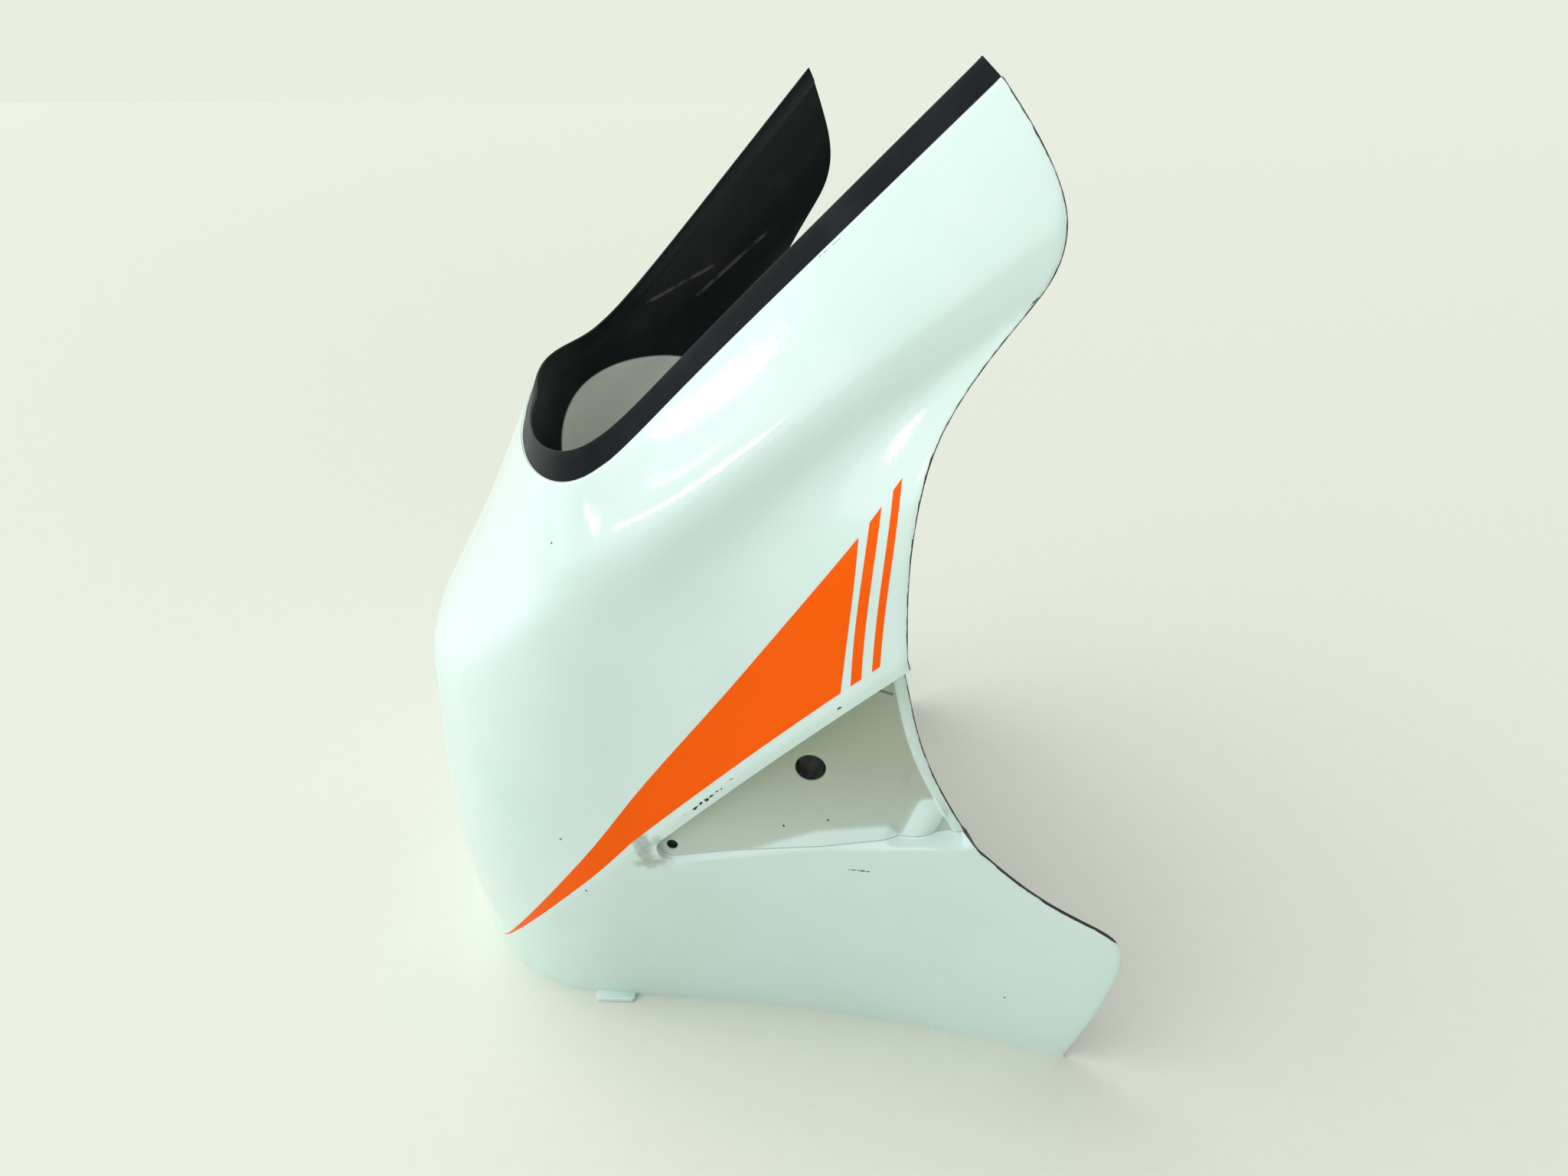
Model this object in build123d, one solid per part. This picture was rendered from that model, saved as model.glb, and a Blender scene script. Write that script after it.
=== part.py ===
from build123d import *
import os
from itertools import accumulate
from math import atan, cos, degrees, exp, hypot, log, radians, sin, tan

# Front half-fairing of a small road motorcycle: one moulded shell with stuck-on stripes.
# Millimetres, +Z up, nose towards -Y, +X on the rider's left. The bottom rim stands on Z = 0.
# The skin hangs on four lines that run round the nose: screen, shoulder, belt and rim.
# A station is a vertical section plane: a fan about the fan axis round the nose, then square across.

# Wall
WALL = 2.5
LEDGE_WIDTH = 12.0
LEDGE_DEPTH = 1.6
LEDGE_WALL = 2.2

# Screen line: upper rim, where the windscreen seats
SCREEN_REACH = 33.5
SCREEN_HALF_WIDTH = 113.0
SCREEN_SQUARENESS = 2.9
SCREEN_NOSE_HEIGHT = 262.0
SCREEN_RISE = 1.07
SCREEN_KNEE_Y = -9.0
SCREEN_KNEE_SOFTNESS = 8.0
SCREEN_FLARE = 0.515
SCREEN_FLARE_Y = 22.0
SCREEN_FLARE_SOFTNESS = 12.0

# Shoulder line: soft ridge from the nose to the bulge of the upper wing
SHOULDER_REACH = 85.0
SHOULDER_HALF_WIDTH = 135.0
SHOULDER_SQUARENESS = 3.0
SHOULDER_NOSE_HEIGHT = 154.0
SHOULDER_RISE = 0.885
SHOULDER_KNEE_Y = -84.0
SHOULDER_KNEE_SOFTNESS = 8.0
SHOULDER_FLARE = 0.445
SHOULDER_ROUND = 9.0

# Belt line: crisp crease from the chin up to the waist
BELT_CHIN_HEIGHT = 5.0
BELT_AXIS_HEIGHT = 97.0
BELT_RISE = 1.12
BELT_START_ANGLE = 38.0
BELT_SWEEP = 1.4
BELT_ROUND = 2.6

# Rim line: bottom edge, flat on the ground
RIM_REACH = 71.0
RIM_HALF_WIDTH = 99.0
RIM_SQUARENESS = 2.6
RIM_FLARE = 0.20
RIM_CURVE = 0.000926
LOWER_LEAN_ANGLE = 16.0

# Fullness of the panels between the lines: crowned round the nose, scooped and then flared to the rear
UPPER_CROWN = 2.0
BROW_CROWN = -2.0
NOSE_CROWN = 7.0
NOSE_CROWN_END_Y = 10.0
SCOOP_DEPTH = 5.0
SCOOP_START_Y = -20.0
SCOOP_FULL_Y = 90.0
EDGE_FLARE = 8.0
EDGE_FLARE_START_Y = 45.0
EDGE_FLARE_FULL_Y = 115.0
UPPER_KNOTS = (0.4, 0.68)
# Flank profile: share of the way from shoulder to belt, and there the shares of crown, scoop and flare
FLANK_KNOTS = ((0.16, 0.54, 1.0, 0.25), (0.45, 1.0, 0.55, 1.0), (0.75, 0.75, 0.15, 0.6))

# Rear outline seen from the side: Y, and share of the way up between the two lines that bound the panel
TIP_Y = 120.0
UPPER_WING_EDGE = ((124.5, 0.83), (134.4, 0.37))
BULGE_Y = 139.4
FLANK_EDGE = ((136.6, 0.88), (128.0, 0.815), (115.0, 0.74), (105.8, 0.653), (99.6, 0.5), (97.6, 0.23))
WAIST_Y = 98.5
RECESS_EDGE = ((103.7, 0.89), (109.2, 0.76), (118.6, 0.617), (130.0, 0.497))
LOWER_WING_EDGE = ((147.6, 0.397), (162.6, 0.334), (177.0, 0.291))
WING_CORNER = (186.3, 0.262)
WING_END_EDGE = ((190.4, 0.205), (189.1, 0.15), (181.0, 0.0))

# Signal recess under the belt
RECESS_MARGIN = 4.0
RECESS_STEP_HEIGHT = 90.0
RECESS_STEP_RISE = 0.235
RECESS_APEX_Y = 6.0
RECESS_APEX_DEPTH = 3.0
RECESS_APEX_RADIUS = 6.5
RECESS_FLARE = 0.3024
RECESS_LEAN = 0.1035
LIP_WIDTH = 4.5
LIP_HEIGHT = 2.0
SIGNAL_HOLE_DIAMETER = 12.0
SIGNAL_HOLE_Y = 71.2
SIGNAL_HOLE_Z = 144.5
SCREW_HOLE_DIAMETER = 4.5
SCREW_HOLE_Y = 17.1
SCREW_HOLE_Z = 100.5
DIMPLE_DIAMETER = 4.5
DIMPLE_DEPTH = 0.6
DIMPLE_Y = 109.0
DIMPLE_Z = 143.0
RAMP_TOP = ((73.7, 115.8), (101.9, 121.5))
RAMP_START_Y = 39.0
RAMP_END_Y = 108.0
RAMP_SLOPE_ANGLE = 22.0
HUMP_RADIUS = 9.0
HUMP_HEIGHT = 2.6
HUMP_FOOT = (110.0, 109.0)
HUMP_TOP = (116.5, 129.0)

# Headlight opening in the nose
LIGHT_TOP_HALF_WIDTH = 62.0
LIGHT_BOTTOM_HALF_WIDTH = 48.0
LIGHT_BOTTOM_Z = 38.0
LIGHT_TOP_Z = 146.0
LIGHT_ARCH = 7.0
LIGHT_CORNER_RADIUS = 14.0
LIGHT_LIP_DEPTH = 16.0
POST_DIAMETER = 10.0
POST_HOLE_DIAMETER = 4.0
POST_HOLE_DEPTH = 14.0
POST_LENGTH = 34.0
POST_OUTSET = 11.0
POST_INSET_Z = 10.0

# Locating tongue at the rim
TONGUE_LENGTH = 18.0
TONGUE_REACH = 5.0
TONGUE_ROOT = 5.0
TONGUE_THICKNESS = 2.2
TONGUE_Y = -10.0

# Stripes on the flank
STRIPE_GAP = 0.1
STRIPE_THICKNESS = 0.25
STRIPE_MARGIN = 3.5
STRIPE_SLANT = 0.077
STRIPE_BOW = 0.9
STRIPE_TOP_Z = 249.2
STRIPE_TOP_RISE = 1.74
WEDGE_RIGHT_Y = 77.6
WEDGE_CHIN_ANGLES = (42.0, 52.0, 64.0, 76.0)
WEDGE_EVENNESS = 0.8
WIDE_STRIPE_Y = (80.8, 84.1)
NARROW_STRIPE_Y = (87.4, 89.8)

# Section planes
FAN_ANGLES = (0, 18, 34, 48, 60, 70, 80, 90)
SQUARE_YS = (25.0, 50.0, 75.0, 100.0, 130.0, 165.0, 205.0)
KNOT_STATION_Y = 30.0
BAND_DEPTH = 45.0
BAND_SKIN = 1.0
FAR = 300.0

LEAN = tan(radians(LOWER_LEAN_ANGLE))


def ramp(distance, softness):
    """Zero before the knee, then one for one, with a soft bend between."""
    return softness * log(1 + exp(distance / softness))


def ease(value, start, end):
    """Smooth step from 0 at start to 1 at end."""
    t = min(max((value - start) / (end - start), 0.0), 1.0)
    return t * t * (3 - 2 * t)


def nose_radius(angle, reach, half_width, squareness, flare):
    """Distance from the fan axis to a rounded nose outline that narrows forwards."""
    low, high = 0.0, FAR
    for _ in range(60):
        middle = (low + high) / 2
        across = middle * sin(radians(angle))
        ahead = middle * cos(radians(angle))
        width = half_width - flare * ahead
        inside = width > 0 and (across / width) ** squareness + (ahead / reach) ** squareness < 1
        low, high = (middle, high) if inside else (low, middle)
    return low


def screen_height(y):
    return SCREEN_NOSE_HEIGHT + SCREEN_RISE * ramp(y - SCREEN_KNEE_Y, SCREEN_KNEE_SOFTNESS)


def shoulder_height(y):
    return SHOULDER_NOSE_HEIGHT + SHOULDER_RISE * ramp(y - SHOULDER_KNEE_Y, SHOULDER_KNEE_SOFTNESS)


def belt_height(angle, y):
    turn = max(angle - BELT_START_ANGLE, 0.0) / (90 - BELT_START_ANGLE)
    return BELT_CHIN_HEIGHT + (BELT_AXIS_HEIGHT - BELT_CHIN_HEIGHT) * turn ** BELT_SWEEP + BELT_RISE * y


def screen_point(angle, y):
    if angle < 90:
        out = nose_radius(angle, SCREEN_REACH, SCREEN_HALF_WIDTH, SCREEN_SQUARENESS, 0.0)
        y = -out * cos(radians(angle))
    else:
        out = SCREEN_HALF_WIDTH + SCREEN_FLARE * ramp(y - SCREEN_FLARE_Y, SCREEN_FLARE_SOFTNESS)
    return Vector(out, screen_height(y))


def shoulder_point(angle, y):
    if angle < 90:
        out = nose_radius(angle, SHOULDER_REACH, SHOULDER_HALF_WIDTH, SHOULDER_SQUARENESS, SHOULDER_FLARE)
        y = -out * cos(radians(angle))
    else:
        out = SHOULDER_HALF_WIDTH + SHOULDER_FLARE * y
    return Vector(out, shoulder_height(y))


def rim_point(angle, y):
    if angle < 90:
        out = nose_radius(angle, RIM_REACH, RIM_HALF_WIDTH, RIM_SQUARENESS, RIM_FLARE)
    else:
        out = RIM_HALF_WIDTH + RIM_FLARE * y + RIM_CURVE * y * y
    return Vector(out, 0.0)


def belt_point(angle, y):
    height = belt_height(angle, y)
    return Vector(rim_point(angle, y).X + LEAN * height, height)


def unit(vector):
    return vector / hypot(vector.X, vector.Y)


def outward(start, end):
    """Unit normal to the outside of a run that goes down the section."""
    along = unit(end - start)
    return Vector(-along.Y, along.X)


def blend(a, b, share):
    return a + (b - a) * share


def rounded(before, corner, after, length):
    """Three points that turn a corner softly."""
    first = corner + unit(before - corner) * length
    last = corner + unit(after - corner) * length
    return [first, (first + last) * 0.25 + corner * 0.5, last]


def section_points(angle, y):
    """Points down the outside of the skin at one station, from the screen line to the rim."""
    screen = screen_point(angle, y)
    shoulder = shoulder_point(angle, y)
    belt = belt_point(angle, y)
    rim = rim_point(angle, y)
    back = y - shoulder.X * cos(radians(angle))
    nose = 1 - ease(back, -SHOULDER_REACH, NOSE_CROWN_END_Y)
    crown = blend(UPPER_CROWN, BROW_CROWN, nose)
    scoop = SCOOP_DEPTH * ease(back, SCOOP_START_Y, SCOOP_FULL_Y)
    flare = EDGE_FLARE * ease(back, EDGE_FLARE_START_Y, EDGE_FLARE_FULL_Y)
    length = (shoulder - screen).length
    up_out = outward(screen, shoulder)
    mid_out = outward(shoulder, belt)

    def upper(share):
        return blend(screen, shoulder, share) + up_out * (4 * crown * share * (1 - share))

    def flank(share, crown_share, scoop_share, flare_share):
        bulge = crown_share * NOSE_CROWN * nose - scoop_share * scoop + flare_share * flare
        return blend(shoulder, belt, share) + mid_out * bulge

    flanks = [flank(*knot) for knot in FLANK_KNOTS]
    ridge = rounded(upper(1 - SHOULDER_ROUND / length), shoulder, flanks[0], SHOULDER_ROUND)
    crease = rounded(flanks[-1], belt, rim, BELT_ROUND)
    panel = [upper(share) for share in UPPER_KNOTS]
    ledge_end = upper(LEDGE_WIDTH / length)
    jog_end = upper((LEDGE_WIDTH + WALL) / length)
    return [screen, ledge_end, jog_end, *panel, *ridge, *flanks, *crease, rim]


def inset_points(points, distance):
    """The section moved inwards by a distance, with its foot kept on the ground."""
    moved = []
    for index, point in enumerate(points):
        before = points[max(index - 1, 0)]
        after = points[min(index + 1, len(points) - 1)]
        moved.append(point - outward(before, after) * distance)
    moved[-1] = points[-1] - Vector(distance * hypot(1, LEAN), 0)
    return moved


# Places in the list of section points
SCREEN, LEDGE_END, JOG_END, CREASE_TOP, CREASE_FOOT, RIM = 0, 1, 2, 11, 13, 14


def placer(station):
    """Function that puts a section point (distance out, height) in the part's frame."""
    angle, y, side = station

    def place(point):
        return Vector(side * point.X * sin(radians(angle)), y - point.X * cos(radians(angle)), point.Y)

    return place


def line(a, b):
    return Edge.make_line(a, b)


def spacing(points):
    """Running share of the way along a row of points, from 0 to 1."""
    steps = [(b - a).length for a, b in zip(points, points[1:])]
    run = list(accumulate(steps, initial=0.0))
    return [length / run[-1] for length in run]


def curve(points, knots=None):
    return Edge.make_spline(points, parameters=knots)


def section_curve(points, first, last):
    """Curve through some of the section's points, with the same knots at every station."""
    low, high = min(first, last), max(first, last)
    knots = spacing(section_points(90, KNOT_STATION_Y)[low:high + 1])
    if first < last:
        return curve(points[low:high + 1], knots)
    return curve(points[low:high + 1][::-1], [1 - knot for knot in reversed(knots)])


LEFT_STATIONS = [(angle, 0.0, 1) for angle in FAN_ANGLES] + [(90, y, 1) for y in SQUARE_YS]
ALL_STATIONS = [(angle, y, -1) for angle, y, _ in reversed(LEFT_STATIONS[1:])] + LEFT_STATIONS


def shell_section(station, lift=0.0, extra=0.0):
    """Closed thin section of the wall, stepped in at the ledge, with skin lifted and back deepened."""
    place = placer(station)
    points = section_points(station[0], station[1])
    skin = [place(p) for p in inset_points(points, -lift)]
    back = [place(p) for p in inset_points(points, WALL + extra)]
    ledge = [place(p) for p in inset_points(points, LEDGE_DEPTH)]
    under = [place(p) for p in inset_points(points, LEDGE_DEPTH + LEDGE_WALL + extra)]
    return Wire([
        line(ledge[SCREEN], ledge[LEDGE_END]),
        line(ledge[LEDGE_END], skin[LEDGE_END]),
        section_curve(skin, LEDGE_END, CREASE_TOP),
        section_curve(skin, CREASE_TOP, CREASE_FOOT),
        line(skin[CREASE_FOOT], skin[RIM]),
        line(skin[RIM], back[RIM]),
        line(back[RIM], back[CREASE_FOOT]),
        section_curve(back, CREASE_FOOT, CREASE_TOP),
        section_curve(back, CREASE_TOP, JOG_END),
        line(back[JOG_END], under[LEDGE_END]),
        line(under[LEDGE_END], under[SCREEN]),
        line(under[SCREEN], ledge[SCREEN]),
    ])


def band_section(station):
    """Deep closed section behind the skin of flank and lower panel, used to end inner features."""
    place = placer(station)
    points = inset_points(section_points(station[0], station[1]), BAND_SKIN)[CREASE_TOP - 4:]
    deep = [p - Vector(BAND_DEPTH, 0) for p in points]
    front = [place(p) for p in points]
    rear = [place(p) for p in deep]
    return Wire([
        curve(front[:5]),
        curve(front[4:7]),
        line(front[6], front[7]),
        line(front[7], rear[7]),
        line(rear[7], rear[0]),
        line(rear[0], front[0]),
    ])


def side_point(y, z):
    return Vector(0, y, z)


def belt_z(y):
    return belt_height(90, y)


def upper_edge(y, share):
    return side_point(y, blend(shoulder_height(y), screen_height(y), share))


def flank_edge(y, share):
    return side_point(y, blend(belt_z(y), shoulder_height(y), share))


def lower_edge(y, share):
    return side_point(y, share * belt_z(y))


def side_prism(edges):
    """Solid across the part from a closed outline in the side view."""
    face = Face(Wire(edges))
    return Pos(-FAR, 0, 0) * extrude(face, amount=2 * FAR, dir=(1, 0, 0))


def recess_edge_points(shift):
    return [lower_edge(y, share) + Vector(0, shift, 0) for y, share in RECESS_EDGE]


def rear_cut():
    """Everything behind the rear outline."""
    tip = side_point(TIP_Y, screen_height(TIP_Y))
    waist = side_point(WAIST_Y, belt_z(WAIST_Y))
    upper = [upper_edge(*p) for p in UPPER_WING_EDGE] + [flank_edge(BULGE_Y, 1.0)]
    flank = [flank_edge(*p) for p in FLANK_EDGE]
    recess = recess_edge_points(0)
    wing = [lower_edge(*p) for p in LOWER_WING_EDGE]
    end = [lower_edge(*p) for p in WING_END_EDGE]
    above = tip + Vector(0, -LEDGE_WIDTH, LEDGE_WIDTH / SCREEN_RISE) * 4
    below = end[-1] + Vector(0, 0, -LEDGE_WIDTH)
    return side_prism([
        line(above, tip),
        line(tip, upper[0]),
        curve(upper + flank + [waist]),
        curve([waist] + recess),
        curve([recess[-1]] + wing),
        Edge.make_three_point_arc(wing[-1], lower_edge(*WING_CORNER), end[0]),
        curve(end),
        line(end[-1], below),
        line(below, side_point(FAR, below.Z)),
        line(side_point(FAR, below.Z), side_point(FAR, 2 * FAR)),
        line(side_point(FAR, 2 * FAR), side_point(above.Y, 2 * FAR)),
        line(side_point(above.Y, 2 * FAR), above),
    ])


def step_z(y):
    """Height of the recess's lower edge in the side view."""
    return RECESS_STEP_HEIGHT + RECESS_STEP_RISE * y


def recess_plane(shift=0.0):
    """Plane of the recess floor on the left side, moved outwards by a distance."""
    y = RECESS_APEX_Y
    z = step_z(y)
    x = rim_point(90, y).X + LEAN * z - RECESS_APEX_DEPTH
    floor = Plane(origin=(x, y, z), x_dir=(RECESS_FLARE, 1, 0), z_dir=(1, -RECESS_FLARE, -RECESS_LEAN))
    return floor.offset(shift)


def floor_point(y, z):
    """Point of the recess floor at a place in the side view."""
    floor = recess_plane()
    normal = floor.z_dir
    x = floor.origin.X - (normal.Y * (y - floor.origin.Y) + normal.Z * (z - floor.origin.Z)) / normal.X
    return Vector(x, y, z)


def side_sketch(points):
    """Filled outline in the side view, drawn as (Y, Z)."""
    return make_face(Polyline(*points, close=True))


def recess_outline():
    """Wedge between the belt and the step, rounded at its front end and open at the rear edge."""
    drop = RECESS_MARGIN * hypot(1, BELT_RISE)
    apex_y = (RECESS_STEP_HEIGHT - BELT_AXIS_HEIGHT + drop) / (BELT_RISE - RECESS_STEP_RISE)
    far_y = WING_CORNER[0]
    outline = side_sketch([
        (apex_y, step_z(apex_y)),
        (far_y, step_z(far_y)),
        (far_y, belt_z(far_y) - drop),
    ])
    return fillet(outline.vertices().sort_by(Axis.X)[0], RECESS_APEX_RADIUS)


def lip_outline():
    """Strip along the recess's rear edge."""
    edge = [(p.Y, p.Z) for p in recess_edge_points(-LIP_WIDTH)]
    top = (edge[0][0] - LIP_WIDTH, edge[0][1] + 5 * LIP_WIDTH)
    right = WING_CORNER[0]
    return make_face([
        Edge.make_spline([top] + edge),
        Polyline(edge[-1], (right, edge[-1][1]), (right, top[1]), top),
    ])


def outward_of(outline, plane):
    """The outline carried across the left side, kept outside a plane."""
    return split(extrude(Plane.YZ * outline, amount=FAR), bisect_by=plane, keep=Keep.TOP)


def recess_pad(band):
    """Material behind the lower panel that the recess is sunk into."""
    outline = offset(recess_outline(), WALL, kind=Kind.INTERSECTION)
    return outward_of(outline, recess_plane(-WALL)) & band


def recess_pocket():
    """Space of the recess, shallower over the lip."""
    outline = recess_outline()
    lip = lip_outline()
    return outward_of(outline - lip, recess_plane()) + outward_of(outline & lip, recess_plane(LIP_HEIGHT))


def recess_ramp():
    """Low ramp with three facets that rise from the recess floor towards its step."""
    facets = [(RAMP_START_Y, step_z(RAMP_START_Y)), *RAMP_TOP, (RAMP_END_Y, step_z(RAMP_END_Y))]
    root = [(y, step_z(y) - RECESS_MARGIN) for y in (RAMP_END_Y, RAMP_START_Y)]
    block = outward_of(side_sketch(facets + root), recess_plane(-WALL / 2))
    normal = recess_plane().z_dir
    tilt = radians(RAMP_SLOPE_ANGLE)
    for start, end in zip(facets, facets[1:]):
        along = (floor_point(*end) - floor_point(*start)).normalized()
        facing = normal * cos(tilt) + normal.cross(along) * sin(tilt)
        slope = Plane(origin=floor_point(*start), x_dir=along, z_dir=facing)
        block = split(block, bisect_by=slope, keep=Keep.BOTTOM)
    return block


def recess_hump():
    """Rounded hump beside the ramp, half sunk in the recess floor."""
    sink = recess_plane().z_dir * (HUMP_RADIUS - HUMP_HEIGHT)
    foot = floor_point(*HUMP_FOOT) - sink
    top = floor_point(*HUMP_TOP) - sink
    barrel = Solid.make_cylinder(HUMP_RADIUS, (top - foot).length, Plane(origin=foot, z_dir=top - foot))
    hump = barrel + Pos(top) * Sphere(HUMP_RADIUS)
    return split(hump, bisect_by=recess_plane(-WALL / 2), keep=Keep.TOP)


def floor_bore(y, z, diameter, low, high):
    """Round cut square to the recess floor, between two heights over it."""
    floor = recess_plane()
    start = floor_point(y, z) + floor.z_dir * low
    return Solid.make_cylinder(diameter / 2, high - low, Plane(origin=start, z_dir=floor.z_dir))


def front_prism(outline, rear_y):
    """An outline drawn as (X, Z), carried from ahead of the nose back to rear_y."""
    return Pos(0, rear_y, 0) * extrude(Plane.XZ * outline, amount=FAR)


def light_outline():
    """Headlight opening: narrower at the foot, arched at the top."""
    top_left = (-LIGHT_TOP_HALF_WIDTH, LIGHT_TOP_Z)
    top_right = (LIGHT_TOP_HALF_WIDTH, LIGHT_TOP_Z)
    foot_left = (-LIGHT_BOTTOM_HALF_WIDTH, LIGHT_BOTTOM_Z)
    foot_right = (LIGHT_BOTTOM_HALF_WIDTH, LIGHT_BOTTOM_Z)
    outline = make_face([
        ThreePointArc(top_left, (0, LIGHT_TOP_Z + LIGHT_ARCH), top_right),
        Polyline(top_right, foot_right, foot_left, top_left),
    ])
    return fillet(outline.vertices(), LIGHT_CORNER_RADIUS)


def light_lip(band):
    """Return lip round the headlight opening, turned into the nose."""
    outline = offset(light_outline(), WALL)
    return front_prism(outline, LIGHT_LIP_DEPTH - SHOULDER_REACH) & band


def post_places():
    top = (LIGHT_TOP_HALF_WIDTH + POST_OUTSET, LIGHT_TOP_Z - POST_INSET_Z)
    foot = (LIGHT_BOTTOM_HALF_WIDTH + POST_OUTSET, LIGHT_BOTTOM_Z + POST_INSET_Z)
    return [top, foot]


def light_posts(band):
    """Screw posts for the headlight on the left side, standing on the inside of the nose."""
    rear = POST_LENGTH - SHOULDER_REACH
    posts = []
    for x, z in post_places():
        place = Pos(x, z)
        posts.append(front_prism(place * Circle(POST_DIAMETER / 2), rear) & band)
    return posts


def post_holes():
    rear = POST_LENGTH - SHOULDER_REACH
    holes = []
    for x, z in post_places():
        start = Plane(origin=(x, rear - POST_HOLE_DEPTH, z), z_dir=(0, 1, 0))
        holes.append(Solid.make_cylinder(POST_HOLE_DIAMETER / 2, POST_HOLE_DEPTH + WALL, start))
    return holes


def tongue():
    """Flat locating tongue that sticks out at the rim on the left side."""
    ahead = degrees(atan(RIM_FLARE))
    edge_x = RIM_HALF_WIDTH + RIM_FLARE * TONGUE_Y
    blank = Pos((TONGUE_REACH - TONGUE_ROOT) / 2, 0, TONGUE_THICKNESS / 2) * Box(
        TONGUE_REACH + TONGUE_ROOT, TONGUE_LENGTH, TONGUE_THICKNESS)
    return Pos(edge_x, TONGUE_Y, 0) * Rot(0, 0, -ahead) * blank


def both_sides(piece):
    return [piece, mirror(piece, about=Plane.YZ)]


def wall(lift=0.0, extra=0.0):
    """The plain wall round the nose, from one end of the stations to the other."""
    return Solid.make_loft([shell_section(station, lift, extra) for station in ALL_STATIONS])


def fairing_shell():
    """The whole moulding."""
    shell = wall()
    band = Solid.make_loft([band_section(s) for s in LEFT_STATIONS])
    band_pair = both_sides(band)
    for side in both_sides(recess_pad(band)):
        shell += side
    for side in both_sides(recess_pocket()):
        shell -= side
    for side in both_sides(recess_ramp()) + both_sides(recess_hump()):
        shell += side
    for half in band_pair:
        shell += light_lip(half)
    shell -= front_prism(light_outline(), 0)
    for post in light_posts(band):
        for side in both_sides(post):
            shell += side
    for hole in post_holes():
        for side in both_sides(hole):
            shell -= side
    shell -= rear_cut()
    bores = [
        floor_bore(SIGNAL_HOLE_Y, SIGNAL_HOLE_Z, SIGNAL_HOLE_DIAMETER, -2 * WALL, 2 * WALL),
        floor_bore(SCREW_HOLE_Y, SCREW_HOLE_Z, SCREW_HOLE_DIAMETER, -2 * WALL, 2 * WALL),
        floor_bore(DIMPLE_Y, DIMPLE_Z, DIMPLE_DIAMETER, LIP_HEIGHT - DIMPLE_DEPTH, 2 * LIP_HEIGHT),
    ]
    for bore in bores:
        for side in both_sides(bore):
            shell -= side
    for side in both_sides(tongue()):
        shell += side
    return shell


def stripe_foot(y):
    """Height of the stripes' lower ends, just above the belt."""
    return belt_z(y) + STRIPE_MARGIN * hypot(1, BELT_RISE)


def stripe_head(y):
    """Point on the slanted edge that starts at y on the stripes' foot line, at the stripes' heads."""
    foot = stripe_foot(y)
    wedge_top_y = WEDGE_RIGHT_Y + STRIPE_SLANT * (STRIPE_TOP_Z - stripe_foot(WEDGE_RIGHT_Y))
    climb = STRIPE_TOP_Z - foot + STRIPE_TOP_RISE * (y - wedge_top_y)
    rise = climb / (1 - STRIPE_SLANT * STRIPE_TOP_RISE)
    return side_point(y + STRIPE_SLANT * rise, foot + rise)


def stripe_edge(y):
    """Long edge of a stripe that starts at y on the foot line, bowed forwards a little."""
    foot = side_point(y, stripe_foot(y))
    head = stripe_head(y)
    middle = blend(foot, head, 0.5) - Vector(0, STRIPE_BOW, 0)
    return Edge.make_three_point_arc(foot, middle, head)


def stripe_outline(left, right):
    front = stripe_edge(left)
    rear = stripe_edge(right)
    return [front, line(front @ 1, rear @ 1), rear, line(rear @ 0, front @ 0)]


def belt_side_view(angle):
    """Point just above the belt in the side view, at a fan angle."""
    belt = belt_point(angle, 0.0)
    return side_point(-belt.X * cos(radians(angle)), belt.Y + STRIPE_MARGIN)


def wedge_outline():
    """Long wedge that grows along the belt from the chin."""
    foot_right = side_point(WEDGE_RIGHT_Y, stripe_foot(WEDGE_RIGHT_Y))
    head = stripe_head(WEDGE_RIGHT_Y)
    axis_foot = side_point(0, stripe_foot(0))
    chin = [belt_side_view(angle) for angle in WEDGE_CHIN_ANGLES] + [axis_foot]
    tip = chin[0]

    def raised(foot):
        run = (foot.Y - tip.Y) / (head.Y - tip.Y)
        growth = WEDGE_EVENNESS * run + (1 - WEDGE_EVENNESS) * run ** 3
        return foot + Vector(0, 0, growth * (head.Z - stripe_foot(head.Y)))

    back = [raised(foot) for foot in chin[1:] + [blend(axis_foot, foot_right, 0.5)]]
    return [
        curve(chin),
        line(axis_foot, foot_right),
        line(foot_right, head),
        curve([head, *reversed(back), tip]),
    ]


def stripes():
    cover = wall(STRIPE_GAP + STRIPE_THICKNESS)
    core = wall(STRIPE_GAP, WALL)
    outlines = {
        "wedge_stripe": wedge_outline(),
        "wide_stripe": stripe_outline(*WIDE_STRIPE_Y),
        "narrow_stripe": stripe_outline(*NARROW_STRIPE_Y),
    }
    pieces = {}
    for name, outline in outlines.items():
        right, left = ((cover & side_prism(outline)) - core).solids().sort_by(Axis.X)
        pieces["left_" + name] = left
        pieces["right_" + name] = right
    return pieces


def main():
    pieces = {"fairing_shell": fairing_shell(), **stripes()}
    box = pieces["fairing_shell"].bounding_box()
    middle = (box.min.Y + box.max.Y) / 2
    os.makedirs("parts", exist_ok=True)
    for name, piece in pieces.items():
        export_step(Pos(0, -middle, 0) * piece, f"parts/{name}.step")
    print("origin moved by", round(-middle, 3))


if __name__ == "__main__":
    main()
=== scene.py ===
import math

import bmesh
import bpy
import numpy as np
from mathutils import Matrix, Vector
from mathutils.bvhtree import BVHTree
from mathutils.geometry import delaunay_2d_cdt


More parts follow.
